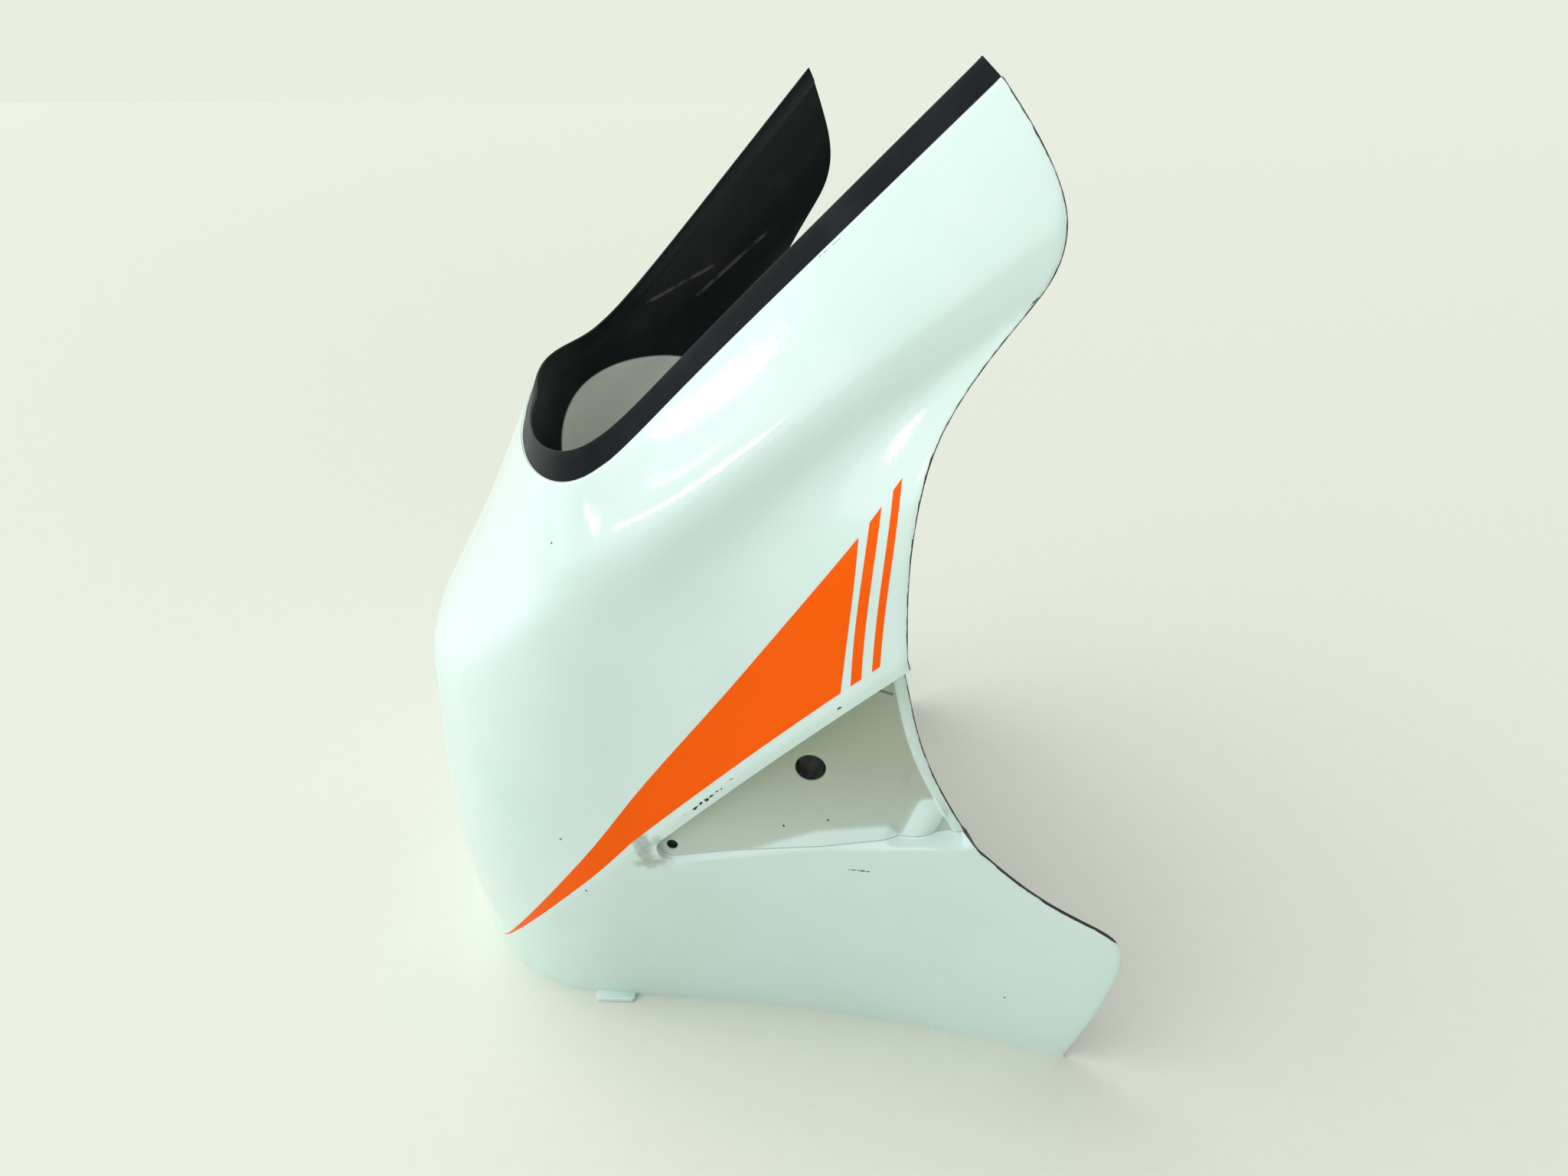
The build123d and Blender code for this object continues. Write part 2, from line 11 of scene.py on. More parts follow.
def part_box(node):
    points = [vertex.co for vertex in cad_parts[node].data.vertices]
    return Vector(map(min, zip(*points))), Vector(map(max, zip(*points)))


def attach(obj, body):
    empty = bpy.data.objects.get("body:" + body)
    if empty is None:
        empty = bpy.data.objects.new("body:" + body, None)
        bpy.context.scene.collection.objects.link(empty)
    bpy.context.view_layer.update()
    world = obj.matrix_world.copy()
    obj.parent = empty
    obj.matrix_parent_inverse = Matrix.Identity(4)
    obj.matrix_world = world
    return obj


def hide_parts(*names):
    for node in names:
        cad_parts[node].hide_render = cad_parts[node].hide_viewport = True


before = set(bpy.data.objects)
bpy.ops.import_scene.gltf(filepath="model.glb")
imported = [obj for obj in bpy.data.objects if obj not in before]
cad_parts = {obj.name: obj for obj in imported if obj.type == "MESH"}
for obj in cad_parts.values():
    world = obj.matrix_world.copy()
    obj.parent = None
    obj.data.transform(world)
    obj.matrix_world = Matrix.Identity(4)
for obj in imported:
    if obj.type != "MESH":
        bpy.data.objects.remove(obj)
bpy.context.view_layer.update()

# Front half-fairing of a small road motorcycle: a white painted moulding with orange film stripes.
# The forms are worked out in millimetres on the moulding's own axis, then put in the frame in metres.

MM = 0.001
SHELL = "fairing_shell"
MIDDLE_Y = 52.885
shell_low, shell_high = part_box(SHELL)
SHIFT = (shell_low[1] + shell_high[1]) / 2 / MM - MIDDLE_Y

# Wall
WALL = 2.5
LEDGE_WIDTH = 12.0
LEDGE_DEPTH = 1.6
LEDGE_WALL = 2.2

# Screen line
SCREEN_REACH = 33.5
SCREEN_HALF_WIDTH = 113.0
SCREEN_SQUARENESS = 2.9
SCREEN_NOSE_HEIGHT = 262.0
SCREEN_RISE = 1.07
SCREEN_KNEE_Y = -9.0
SCREEN_KNEE_SOFTNESS = 8.0
SCREEN_FLARE = 0.515
SCREEN_FLARE_Y = 22.0
SCREEN_FLARE_SOFTNESS = 12.0

# Shoulder line
SHOULDER_REACH = 85.0
SHOULDER_HALF_WIDTH = 135.0
SHOULDER_SQUARENESS = 3.0
SHOULDER_NOSE_HEIGHT = 154.0
SHOULDER_RISE = 0.885
SHOULDER_KNEE_Y = -84.0
SHOULDER_KNEE_SOFTNESS = 8.0
SHOULDER_FLARE = 0.445
SHOULDER_ROUND = 9.0

# Belt line
BELT_CHIN_HEIGHT = 5.0
BELT_AXIS_HEIGHT = 97.0
BELT_RISE = 1.12
BELT_START_ANGLE = 38.0
BELT_SWEEP = 1.4
BELT_ROUND = 2.6

# Rim line
RIM_REACH = 71.0
RIM_HALF_WIDTH = 99.0
RIM_SQUARENESS = 2.6
RIM_FLARE = 0.20
RIM_CURVE = 0.000926
LEAN = math.tan(math.radians(16.0))

# Fullness of the panels
UPPER_CROWN = 2.0
BROW_CROWN = -2.0
NOSE_CROWN = 7.0
NOSE_CROWN_END_Y = 10.0
SCOOP_DEPTH = 5.0
SCOOP_START_Y = -20.0
SCOOP_FULL_Y = 90.0
EDGE_FLARE = 8.0
EDGE_FLARE_START_Y = 45.0
EDGE_FLARE_FULL_Y = 115.0
UPPER_KNOTS = (0.4, 0.68)
FLANK_KNOTS = ((0.16, 0.54, 1.0, 0.25), (0.45, 1.0, 0.55, 1.0), (0.75, 0.75, 0.15, 0.6))

# Rear outline in the side view
TIP_Y = 120.0
TIP_REACH = 4.0
UPPER_WING_EDGE = ((124.5, 0.83), (134.4, 0.37))
BULGE_Y = 139.4
FLANK_EDGE = ((136.6, 0.88), (128.0, 0.815), (115.0, 0.74), (105.8, 0.653), (99.6, 0.5), (97.6, 0.23))
WAIST_Y = 98.5
RECESS_EDGE = ((103.7, 0.89), (109.2, 0.76), (118.6, 0.617), (130.0, 0.497))
LOWER_WING_EDGE = ((147.6, 0.397), (162.6, 0.334), (177.0, 0.291))
WING_CORNER = (186.3, 0.262)
WING_END_EDGE = ((190.4, 0.205), (189.1, 0.15), (181.0, 0.0))

# Signal recess
RECESS_MARGIN = 4.0
RECESS_STEP_HEIGHT = 90.0
RECESS_STEP_RISE = 0.235
RECESS_APEX_Y = 6.0
RECESS_APEX_DEPTH = 3.0
RECESS_APEX_RADIUS = 6.5
RECESS_FLARE = 0.3024
RECESS_LEAN = 0.1035
WALL_START, WALL_END = -0.45, 0.55
STEP_SLOPE_WIDTH = 2.6
LIP_WIDTH = 4.5
LIP_HEIGHT = 2.0
LIP_SOFT = 0.7
SIGNAL_HOLE = (71.2, 144.5, 6.0)
SCREW_HOLE = (17.1, 100.5, 2.25)
DIMPLE = (109.0, 143.0, 2.25)
DIMPLE_DEPTH = 0.6
DIMPLE_ROUND = (0.7, 1.2)
RAMP_TOP = ((73.7, 115.8), (101.9, 121.5))
RAMP_START_Y = 39.0
RAMP_END_Y = 108.0
RAMP_SLOPE = math.tan(math.radians(22.0))
RAMP_SOFT = 0.12
HUMP_RADIUS = 9.0
HUMP_HEIGHT = 2.6
HUMP_SOFT = 0.25
HUMP_FOOT = (110.0, 109.0)
HUMP_TOP = (116.5, 129.0)

# Headlight opening
LIGHT_TOP_HALF_WIDTH = 62.0
LIGHT_BOTTOM_HALF_WIDTH = 48.0
LIGHT_BOTTOM_Z = 38.0
LIGHT_TOP_Z = 146.0
LIGHT_ARCH = 7.0
LIGHT_ARCH_REACH = 40.0
LIGHT_CORNER_RADIUS = 14.0
LIGHT_LIP_Y = 16.0 - SHOULDER_REACH
POST_RADIUS = 5.0
POST_HOLE_RADIUS = 2.0
POST_HOLE_DEPTH = 14.0
POST_END_Y = 34.0 - SHOULDER_REACH
POST_PLACES = ((73.0, 136.0), (59.0, 48.0))

# Locating tongue
TONGUE_LENGTH = 18.0
TONGUE_REACH = 5.0
TONGUE_ROOT = 5.0
TONGUE_THICKNESS = 2.2
TONGUE_Y = -10.0
TONGUE_CORNER = 0.4
TONGUE_LAYERS = ((0.0, 0.92), (0.3, 1.0), (TONGUE_THICKNESS - 0.4, 1.0), (TONGUE_THICKNESS, 0.9))

# Moulded ribs on the inside of the upper wing, each between two places (y, z) of the side view
RIBS = (((24.4, 279.3), (67.0, 295.7)), ((53.9, 277.7), (100.4, 312.4)))
RIB_WIDTH = 2.2
RIB_HEIGHT = 0.6
RIB_SINK = 0.15
RIB_STEP = 2.0
RIB_TAPER = 0.12

# Stripes
FILM_LIFT = 0.12
FILM_SINK = 0.1
FILM_POINT_GAP = 2.5
STRIPE_MARGIN = 3.5
STRIPE_SLANT = 0.077
STRIPE_BOW = 0.9
STRIPE_TOP_Z = 249.2
STRIPE_TOP_RISE = 1.74
WEDGE_RIGHT_Y = 77.6
WEDGE_CHIN_ANGLES = (42.0, 47.0, 52.0, 58.0, 64.0, 70.0, 76.0, 83.0)
WEDGE_EVENNESS = 0.8
WEDGE_POWER = 3
WIDE_STRIPE_Y = (80.8, 84.1)
NARROW_STRIPE_Y = (87.4, 89.8)

# Black tubes behind the holes, a dark thing put in to stand for the shade seen through them
SHADE_TUBE_WALL = 1.6
SIGNAL_SHADE_TUBE_LENGTH = 18.0
SCREW_SHADE_TUBE_LENGTH = 6.0

# Rounded edges; the middle of a round lies at a share of its size from the corner
EDGE_ROUND = 1.2
ROUND_SHARES = np.array((0.0, 0.06, 0.2, 0.42, 0.7, 1.0))
ROUND_MIDDLE = 0.3
LEDGE_EDGE = 0.7
LEDGE_CORNER = 0.3
HOLE_ROUND = 0.5
LIGHT_EDGE = 1.0
LIGHT_LIP_ROUND = 0.4
POST_ROUND = 0.6
POST_HOLE_ROUND = 0.3
EDGE_ROLL_WIDTH = 3.2
EDGE_ROLL_DEPTH = 0.9
ROLL = np.array((1.0, 0.75, 0.5, 0.3, 0.14, 0.04, 0.0))

# Wear and dirt on the left side, and one painted shadow, between two points in millimetres on the axis,
# with half width and raggedness
CHIPS = (
    ((140.6, 25.5, 124.6), (146.9, 36.4, 137.3), 0.4, 1.1),
    ((138.6, 21.6, 120.9), (138.9, 22.2, 121.5), 0.3, 0.5),
    ((148.8, 39.6, 142.1), (149.5, 40.5, 143.0), 0.2, 0.4),
    ((172.0, 76.9, 182.2), (173.0, 78.0, 183.3), 0.2, 0.5),
    ((151.4, 86.9, 97.4), (154.2, 94.7, 97.6), 0.25, 0.8),
    ((188.3, 97.6, 246.0), (188.3, 97.8, 257.0), 0.1, 0.9),
    ((187.1, 97.5, 219.0), (187.1, 97.5, 222.5), 0.15, 0.6),
    ((192.8, 130.4, 328.3), (195.0, 135.2, 334.3), 0.1, 0.7),
    ((117.6, 1.2, 267.2), (120.4, 11.6, 275.8), 0.5, 1.4),
    ((146.4, 72.9, 338.4), (150.6, 81.0, 346.1), 0.05, 0.5),
)
SPECKS = (
    (142.7, 61.5, 115.1), (148.3, 78.6, 119.7), (81.4, -39.2, 226.4), (115.0, -22.9, 230.9),
    (160.9, 153.7, 32.1), (114.6, -28.8, 98.9), (97.2, -48.6, 75.0), (115.3, -19.7, 72.5),
)
SPECK_RADIUS = 0.45
SPECK_LENGTH = 0.02
SPECK_RAGGEDNESS = 0.2
# Painted shadow in the recess's top rear corner, by the lip
LIP_CORNER_SHADOW = ((159.6, 95.2, 182.4), (161.2, 99.6, 181.0), 0.6, 0.3)
GRIME = (
    ((129.4, 3.8, 106.0), (126.8, 7.0, 93.0), 3.5, 3.0),
    ((126.0, 3.0, 91.5), (128.2, 12.0, 93.0), 1.6, 2.5),
    ((130.5, 11.0, 106.0), (129.5, 14.5, 104.0), 2.2, 2.0),
)

# Light patch on the inside of the right wall: middle (y, z), half sizes and squareness of its outline
PATCH_MIDDLE = (25.0, 195.0)
PATCH_HALF_SIZES = (50.5, 52.0)
PATCH_SQUARENESS = 2.6
PATCH_X = (-60.0, -64.0)

# Fineness of the meshes
HALVINGS = 45
SLIVER = 0.002
FILL_TOLERANCE = 1e-5
WELD_GAP = 0.01
TINY_EDGE = 0.002
TINY = 1e-6
SAME_WAY = 1e-12
PLACE_DIGITS = 3
SHARP_ANGLE = math.radians(38)
OUTLINE_STEPS = 40
FAN_STEP = 1.5
SIDE_COLUMNS = 70
TABLE_END_Y = 206
KNOT_STATION_Y = 30.0
RUN_STEPS = (3, 8, 6, 6, 4, 4, 4, 8, 8, 7)
CREASE_STEPS = 5
LOWER_STEPS = 12
ROUND_ROOM = 1.2
ROLL_ROOM = 1.15
ROLL_LINES = (0.14, 0.35, 0.65, 1.0)
ROLL_STEP = 2.0
LEDGE_SHARES = (0.3, 0.6, 0.85)
LEDGE_EDGE_ROWS = 3
RIM_COUNT = 60
REAR_STEP = 1.8
REAR_ROOM = 0.3
LEAST_GAP = 0.02
WALL_DEPTHS_OUT = (-1.0, -0.55, -0.45, -0.3, -0.12, 0.05, 0.22, 0.4, 0.55, 0.65, 1.2)
WALL_DEPTHS_IN = (-0.45, 0.05, 0.55)
STEP_SLOPE_DEPTHS = (-2.8, -2.3, -1.9, -1.45)
APEX_COUNT = 15
CHAIN_LENGTH = 140
CHAIN_STEP = 2.0
LIP_STEP = 1.5
LIP_DEPTH = 1.4
FINE_DEPTH = 1.6
COARSE_DEPTH = -2.5
LINE_ROOM = 0.5
PANEL_POINT_GAP = 5.0
FLOOR_POINT_GAP = 1.6
HOLE_COUNT = 40
POST_COUNT = 32
TONGUE_COUNT = 6
RIB_COUNT = 7
STRIPE_COUNT = 40
LIGHT_CORNER_COUNT = 12
LIGHT_STEP = 4.0
LIGHT_ROOM = 1.2
LIGHT_BLOCK_SIDE = 9.0
LIGHT_BLOCK_HEIGHT = 4.0
FAR = 400.0
FAR_OUT = 300.0
NOTE_LIMIT = 20.0

# Places of points in a section, and of materials on the shell
LEDGE_END, JOG_END, CREASE_TOP, CREASE_FOOT = 1, 2, 11, 13
PAINT, BARE, RUB_AND_SHEEN = 0, 1, 2

# Colours
WHITE = (0.72, 0.86, 0.83)
WHITE_SHADE = (0.68, 0.83, 0.79)
# Darker white of the recess floor: painted shade under the overhang, on thinner paint
RECESS_SHADED_WHITE = (0.42, 0.46, 0.36)
# Dark colour of dirt, also used for the painted shade along the recess wall's foot and the painted shadow
# in the recess's top rear corner
GRIME_AND_SHADE_COLOR = (0.12, 0.12, 0.10)
PLASTIC = (0.006, 0.008, 0.010)
PLASTIC_DUSTY = (0.014, 0.016, 0.019)
# Lighter black of the ribs and bores: rubbing, and on the ribs a painted sheen for the light they catch
RUB_AND_SHEEN_COLOR = (0.09, 0.09, 0.085)
PATCH_COLOR = (0.85, 0.88, 0.82)
ORANGE = (1.0, 0.122, 0.0)
ORANGE_SHADE = (1.0, 0.112, 0.0)
FLOOR = (0.77, 0.78, 0.69)
FLOOR_SHADE = (0.74, 0.75, 0.65)
AMBIENT = (0.93, 0.97, 1.0)
BACKDROP = (0.81, 0.855, 0.747)

# Paint: sizes in millimetres, gloss, and where it is thin, dirty and chipped, and where shade is painted
# into its colour: on the recess floor, along the foot of the recess wall and in the recess's top rear
# corner by the lip
PAINT_CLOUD_SIZE = 60.0
PAINT_CLOUD_STEP = (0.3, 0.7)
PAINT_FINE_SIZE = 1.6
PAINT_ROUGHNESS = 0.12
PAINT_ROUGHNESSES = (0.06, 0.14)
PEEL_SIZE = 2.4
PEEL_SHARE = 0.25
# Share of painted shade and thinner paint on the recess floor: by depth, left off the raised parts, and
# rising with height towards the overhang
RECESS_SHADE_DEPTHS = (0.5, 1.2)
RECESS_SHADE_RELIEFS = (1.1, 0.2)
RECESS_SHADE_HEIGHTS = (95.0, 165.0)
RECESS_SHADE_LEAST = 0.55
THIN_DULLNESS = 0.5
# Painted shade along the foot of the recess wall, by depth in the recess
FOOT_START = (0.3, 0.5)
FOOT_END = (0.95, 0.65)
GRIME_SIZE = 4.0
GRIME_SOFT = 2.0
# Cover of the grime and of the painted shade along the recess wall's foot
GRIME_AND_SHADE_COVER = (0.2, 0.7)
# Softness and strength of the painted shadow in the recess's top rear corner
LIP_CORNER_SHADOW_SOFT = 0.3
LIP_CORNER_SHADOW_COVER = 0.85
CHIP_SOFT = 0.12
CHIP_DEPTH = 0.1
CHIP_ROUGHNESS = 0.35
EDGE_CHIP_SIZE = 5.0
EDGE_CHIP_REACH = 1.2
EDGE_CHIP_WIDTHS = (1.1, 0.95)

# Plastic, film and floor: sizes in millimetres and gloss
PLASTIC_ROUGHNESS = 0.4
PLASTIC_ROUGHNESSES = (0.3, 0.5)
PLASTIC_GLOSS = 0.055
DUST_SIZE = 25.0
DUST_STEP = (0.45, 0.75)
GRAIN_SIZE = 0.7
GRAIN_DEPTH = 0.03
PATCH_BORDER = (1.04, 0.97)
# Ribs and bores: gloss and blotch sizes of their lighter plastic, a painted sheen on the ribs as well as
# rubbing
RUB_AND_SHEEN_GLOSS = 0.1
RUB_AND_SHEEN_SIZE = 7.0
RUB_AND_SHEEN_STEP = (0.35, 0.65)
FILM_ROUGHNESS = 0.35
FILM_ROUGHNESSES = (0.25, 0.45)
FILM_GLOSS = 0.08
FILM_CLOUD_SIZE = 30.0
FILM_WAVE_SIZE = 1.5
FILM_WAVE_DEPTH = 0.01
FLOOR_ROUGHNESS = 0.6
FLOOR_GLOSS = 0.1
MOTTLE_SIZE = 9.0

# Camera in metres, floor and even light
CAMERA_PLACE = (0.5577, SHIFT * MM, 0.3917)
CAMERA_VIEW = (-0.9144, 0.1358, -0.3813)
CAMERA_LENS = 28.125
CAMERA_SENSOR = 36
CAMERA_NEAR = 0.01
FLOOR_SIZE = 60
AMBIENT_STRENGTH = 0.1

# Wide soft lights: name, where from, power, colour and width in degrees
SKIES = (
    ("left_sky", (-0.05, -0.9, 0.55), 2.6, (0.95, 1.0, 1.0), 110),
    ("top_sky", (-0.25, -0.15, 1.0), 1.45, (0.97, 1.0, 1.0), 90),
    ("front_sky", (0.75, -0.25, 0.6), 0.3, (1.0, 1.0, 1.0), 80),
)

# Small lights that give the highlights: name, place, target, power, width and height
WINDOWS = (
    ("big_window", (0.20, -1.585, 0.923), (0.20, -0.025, 0.243), 0.56, 0.22, 0.10),
    ("small_window", (0.446, -1.628, 0.762), (0.137, -0.034, 0.26), 0.08, 0.06, 0.06),
    ("side_window", (0.77, -1.475, 0.535), (0.178, 0.043, 0.285), 0.75, 0.22, 0.09),
)
WINDOW_COLOR = (1.0, 1.0, 1.0)


def ramp(distance, softness):
    return softness * np.log1p(np.exp(distance / softness))


def ease(value, start, end):
    t = np.clip((value - start) / (end - start), 0.0, 1.0)
    return t * t * (3 - 2 * t)


def nose_radius(angle, reach, half_width, squareness, flare):
    """Distance from the fan axis to a rounded nose outline that narrows forwards."""
    low, high = 0.0, FAR_OUT
    for _ in range(HALVINGS):
        middle = (low + high) / 2
        across = middle * math.sin(math.radians(angle))
        ahead = middle * math.cos(math.radians(angle))
        width = half_width - flare * ahead
        within = width > 0 and (across / width) ** squareness + (ahead / reach) ** squareness < 1
        low, high = (middle, high) if within else (low, middle)
    return low


def screen_height(y):
    return SCREEN_NOSE_HEIGHT + SCREEN_RISE * ramp(y - SCREEN_KNEE_Y, SCREEN_KNEE_SOFTNESS)


def shoulder_height(y):
    return SHOULDER_NOSE_HEIGHT + SHOULDER_RISE * ramp(y - SHOULDER_KNEE_Y, SHOULDER_KNEE_SOFTNESS)


def belt_z(y):
    return BELT_AXIS_HEIGHT + BELT_RISE * y


def belt_height(angle, y):
    turn = max(angle - BELT_START_ANGLE, 0.0) / (90 - BELT_START_ANGLE)
    return BELT_CHIN_HEIGHT + (BELT_AXIS_HEIGHT - BELT_CHIN_HEIGHT) * turn ** BELT_SWEEP + BELT_RISE * y


def rim_x(y):
    return RIM_HALF_WIDTH + RIM_FLARE * y + RIM_CURVE * y * y


def main_points(angle, y):
    """Screen, shoulder, belt and rim of a section as (distance out, height), and the shoulder's Y."""
    cosine = math.cos(math.radians(angle))
    if angle < 90:
        screen = nose_radius(angle, SCREEN_REACH, SCREEN_HALF_WIDTH, SCREEN_SQUARENESS, 0.0)
        shoulder = nose_radius(angle, SHOULDER_REACH, SHOULDER_HALF_WIDTH, SHOULDER_SQUARENESS,
                               SHOULDER_FLARE)
        rim = nose_radius(angle, RIM_REACH, RIM_HALF_WIDTH, RIM_SQUARENESS, RIM_FLARE)
    else:
        screen = SCREEN_HALF_WIDTH + SCREEN_FLARE * ramp(y - SCREEN_FLARE_Y, SCREEN_FLARE_SOFTNESS)
        shoulder = SHOULDER_HALF_WIDTH + SHOULDER_FLARE * y
        rim = rim_x(y)
    back = y - shoulder * cosine
    belt = belt_height(angle, y)
    points = [(screen, screen_height(y - screen * cosine)), (shoulder, shoulder_height(back)),
              (rim + LEAN * belt, belt), (rim, 0.0)]
    return [np.array(p, float) for p in points], back


def unit(vector):
    return vector / np.linalg.norm(vector)


def outward(start, end):
    along = unit(end - start)
    return np.array((-along[1], along[0]))


def blend(a, b, share):
    return a + (b - a) * share


def rounded(before, corner, after, length):
    first = corner + unit(before - corner) * length
    last = corner + unit(after - corner) * length
    return [first, (first + last) * 0.25 + corner * 0.5, last]


def section_points(angle, y):
    """Points down the outside of the skin at one station, from the screen line to the rim."""
    (screen, shoulder, belt, rim), back = main_points(angle, y)
    nose = 1 - ease(back, -SHOULDER_REACH, NOSE_CROWN_END_Y)
    crown = blend(UPPER_CROWN, BROW_CROWN, nose)
    scoop = SCOOP_DEPTH * ease(back, SCOOP_START_Y, SCOOP_FULL_Y)
    flare = EDGE_FLARE * ease(back, EDGE_FLARE_START_Y, EDGE_FLARE_FULL_Y)
    length = np.linalg.norm(shoulder - screen)
    up_out = outward(screen, shoulder)
    mid_out = outward(shoulder, belt)

    def upper(share):
        return blend(screen, shoulder, share) + up_out * (4 * crown * share * (1 - share))

    def flank(share, crown_share, scoop_share, flare_share):
        bulge = crown_share * NOSE_CROWN * nose - scoop_share * scoop + flare_share * flare
        return blend(shoulder, belt, share) + mid_out * bulge

    flanks = [flank(*knot) for knot in FLANK_KNOTS]
    ridge = rounded(upper(1 - SHOULDER_ROUND / length), shoulder, flanks[0], SHOULDER_ROUND)
    crease = rounded(flanks[-1], belt, rim, BELT_ROUND)
    panel = [upper(share) for share in UPPER_KNOTS]
    ledge_end = upper(LEDGE_WIDTH / length)
    jog_end = upper((LEDGE_WIDTH + WALL) / length)
    return np.array([screen, ledge_end, jog_end, *panel, *ridge, *flanks, *crease, rim])


def inset(points, distance):
    """The section moved inwards by a distance, with its foot kept on the ground."""
    moved = points.copy()
    for index in range(len(points)):
        before = points[max(index - 1, 0)]
        after = points[min(index + 1, len(points) - 1)]
        moved[index] = points[index] - outward(before, after) * distance
    moved[-1] = points[-1] - np.array((distance * math.hypot(1, LEAN), 0))
    return moved


def spacing(points):
    steps = np.linalg.norm(np.diff(points, axis=0), axis=1)
    run = np.concatenate(([0.0], np.cumsum(steps)))
    return run / run[-1]


def spline(knots, points, at):
    """Natural cubic curve through points at their knots, read at the given places."""
    n = len(knots)
    h = np.diff(knots)
    matrix = np.eye(n)
    bend = np.zeros_like(points)
    for i in range(1, n - 1):
        matrix[i, i - 1:i + 2] = h[i - 1], 2 * (h[i - 1] + h[i]), h[i]
        bend[i] = 6 * ((points[i + 1] - points[i]) / h[i] - (points[i] - points[i - 1]) / h[i - 1])
    m = np.linalg.solve(matrix, bend)
    i = np.clip(np.searchsorted(knots, at, side="right") - 1, 0, n - 2)
    step = h[i][:, None]
    before = (at - knots[i])[:, None]
    after = step - before
    cubic = (m[i] * after ** 3 + m[i + 1] * before ** 3) / (6 * step)
    fading = (points[i] / step - m[i] * step / 6) * after
    growing = (points[i + 1] / step - m[i + 1] * step / 6) * before
    return cubic + fading + growing


def run_places(knots, steps):
    """Places along a run with a number of steps between each two knots."""
    places = [np.linspace(a, b, n, endpoint=False) for a, b, n in zip(knots, knots[1:], steps)]
    return np.concatenate([*places, knots[-1:]])


REFERENCE = section_points(90, KNOT_STATION_Y)
RUN_KNOTS = spacing(REFERENCE[LEDGE_END:CREASE_TOP + 1])
RUN_PLACES = run_places(RUN_KNOTS, RUN_STEPS)
CREASE_KNOTS = spacing(REFERENCE[CREASE_TOP:CREASE_FOOT + 1])
CREASE_PLACES = np.linspace(0, 1, CREASE_STEPS + 1)[1:]


def sunk_share(shares):
    """Depth share of a rounded edge at shares of its width, 1 at the edge itself."""
    return 1 - np.sqrt(1 - (1 - shares) ** 2)


EDGE_PLACES = ROUND_SHARES * EDGE_ROUND / WALL * RUN_KNOTS[1]
SKIN_PLACES = np.concatenate((EDGE_PLACES, RUN_PLACES[RUN_PLACES > EDGE_PLACES[-1] * ROUND_ROOM]))


def skin_rows(points):
    """Dense rows down the outside, from the skin's rounded top edge to the foot of the belt crease."""
    run = spline(RUN_KNOTS, points[LEDGE_END:CREASE_TOP + 1], SKIN_PLACES)
    normal = outward(points[LEDGE_END], points[JOG_END])
    run[:len(ROUND_SHARES)] -= EDGE_ROUND * sunk_share(ROUND_SHARES)[:, None] * normal
    crease = spline(CREASE_KNOTS, points[CREASE_TOP:CREASE_FOOT + 1], CREASE_PLACES)
    return np.concatenate((run, crease))


def ledge_rows(points):
    """Rows from the under side of the ledge round its edge and along it to the foot of the jog."""
    ledge = inset(points, LEDGE_DEPTH)[:2]
    under = inset(points, LEDGE_DEPTH + LEDGE_WALL)[:2]
    along = unit(ledge[1] - ledge[0])
    down = unit(under[0] - ledge[0])
    corner = LEDGE_EDGE * LEDGE_CORNER
    rows = []
    for start, first, last in ((under[0], along, -down), (ledge[0], down, along)):
        rows += [start + first * LEDGE_EDGE, start + (first + last) * corner, start + last * LEDGE_EDGE]
    rows += [blend(ledge[0], ledge[1], share) for share in LEDGE_SHARES]
    rows += [ledge[1] - along * LEDGE_CORNER]
    return np.array(rows)


LEDGE_ROWS = len(ledge_rows(REFERENCE))


def outer_rows(points):
    return np.concatenate((ledge_rows(points), skin_rows(points)))


BACK_KNOTS = spacing(REFERENCE[JOG_END:CREASE_TOP + 1])
BACK_PLACES = run_places(BACK_KNOTS, RUN_STEPS[1:])


def inner_rows(points):
    """Dense rows down the inside, from the ledge's under side to the foot of the belt crease."""
    back = inset(points, WALL)
    under = inset(points, LEDGE_DEPTH + LEDGE_WALL)[:2]
    along = unit(under[1] - under[0])
    shelf = [under[0] + along * LEDGE_EDGE, blend(under[0], under[1], 0.5), under[1]]
    run = spline(BACK_KNOTS, back[JOG_END:CREASE_TOP + 1], BACK_PLACES)
    crease = spline(CREASE_KNOTS, back[CREASE_TOP:CREASE_FOOT + 1], CREASE_PLACES)
    return np.concatenate((shelf, run, crease))


def three(section, angle, y):
    """Section points (distance out, height) in the axis frame."""
    turn = math.radians(angle)
    x = section[:, 0] * math.sin(turn)
    return np.stack((x, y - section[:, 0] * math.cos(turn), section[:, 1]), 1)


def side_outline(points):
    """Smooth line through (y, z) points, cut fine."""
    points = np.array(points, float)
    knots = spacing(points)
    return spline(knots, points, np.linspace(0, 1, OUTLINE_STEPS * (len(points) - 1)))


def upper_edge(y, share):
    return (y, blend(shoulder_height(y), screen_height(y), share))


def flank_edge(y, share):
    return (y, blend(belt_z(y), shoulder_height(y), share))


def lower_edge(y, share):
    return (y, share * belt_z(y))


def upper_rear_outline():
    """Rear edge from above the tip down to the waist, as (y, z)."""
    tip = np.array((TIP_Y, screen_height(TIP_Y)))
    above = tip + np.array((-LEDGE_WIDTH, LEDGE_WIDTH / SCREEN_RISE)) * TIP_REACH
    rest = [upper_edge(*p) for p in UPPER_WING_EDGE] + [flank_edge(BULGE_Y, 1.0)]
    rest += [flank_edge(*p) for p in FLANK_EDGE] + [(WAIST_Y, belt_z(WAIST_Y))]
    return np.concatenate(([above, tip], side_outline(rest)))


RECESS_REAR = side_outline([(WAIST_Y, belt_z(WAIST_Y))] + [lower_edge(*p) for p in RECESS_EDGE])


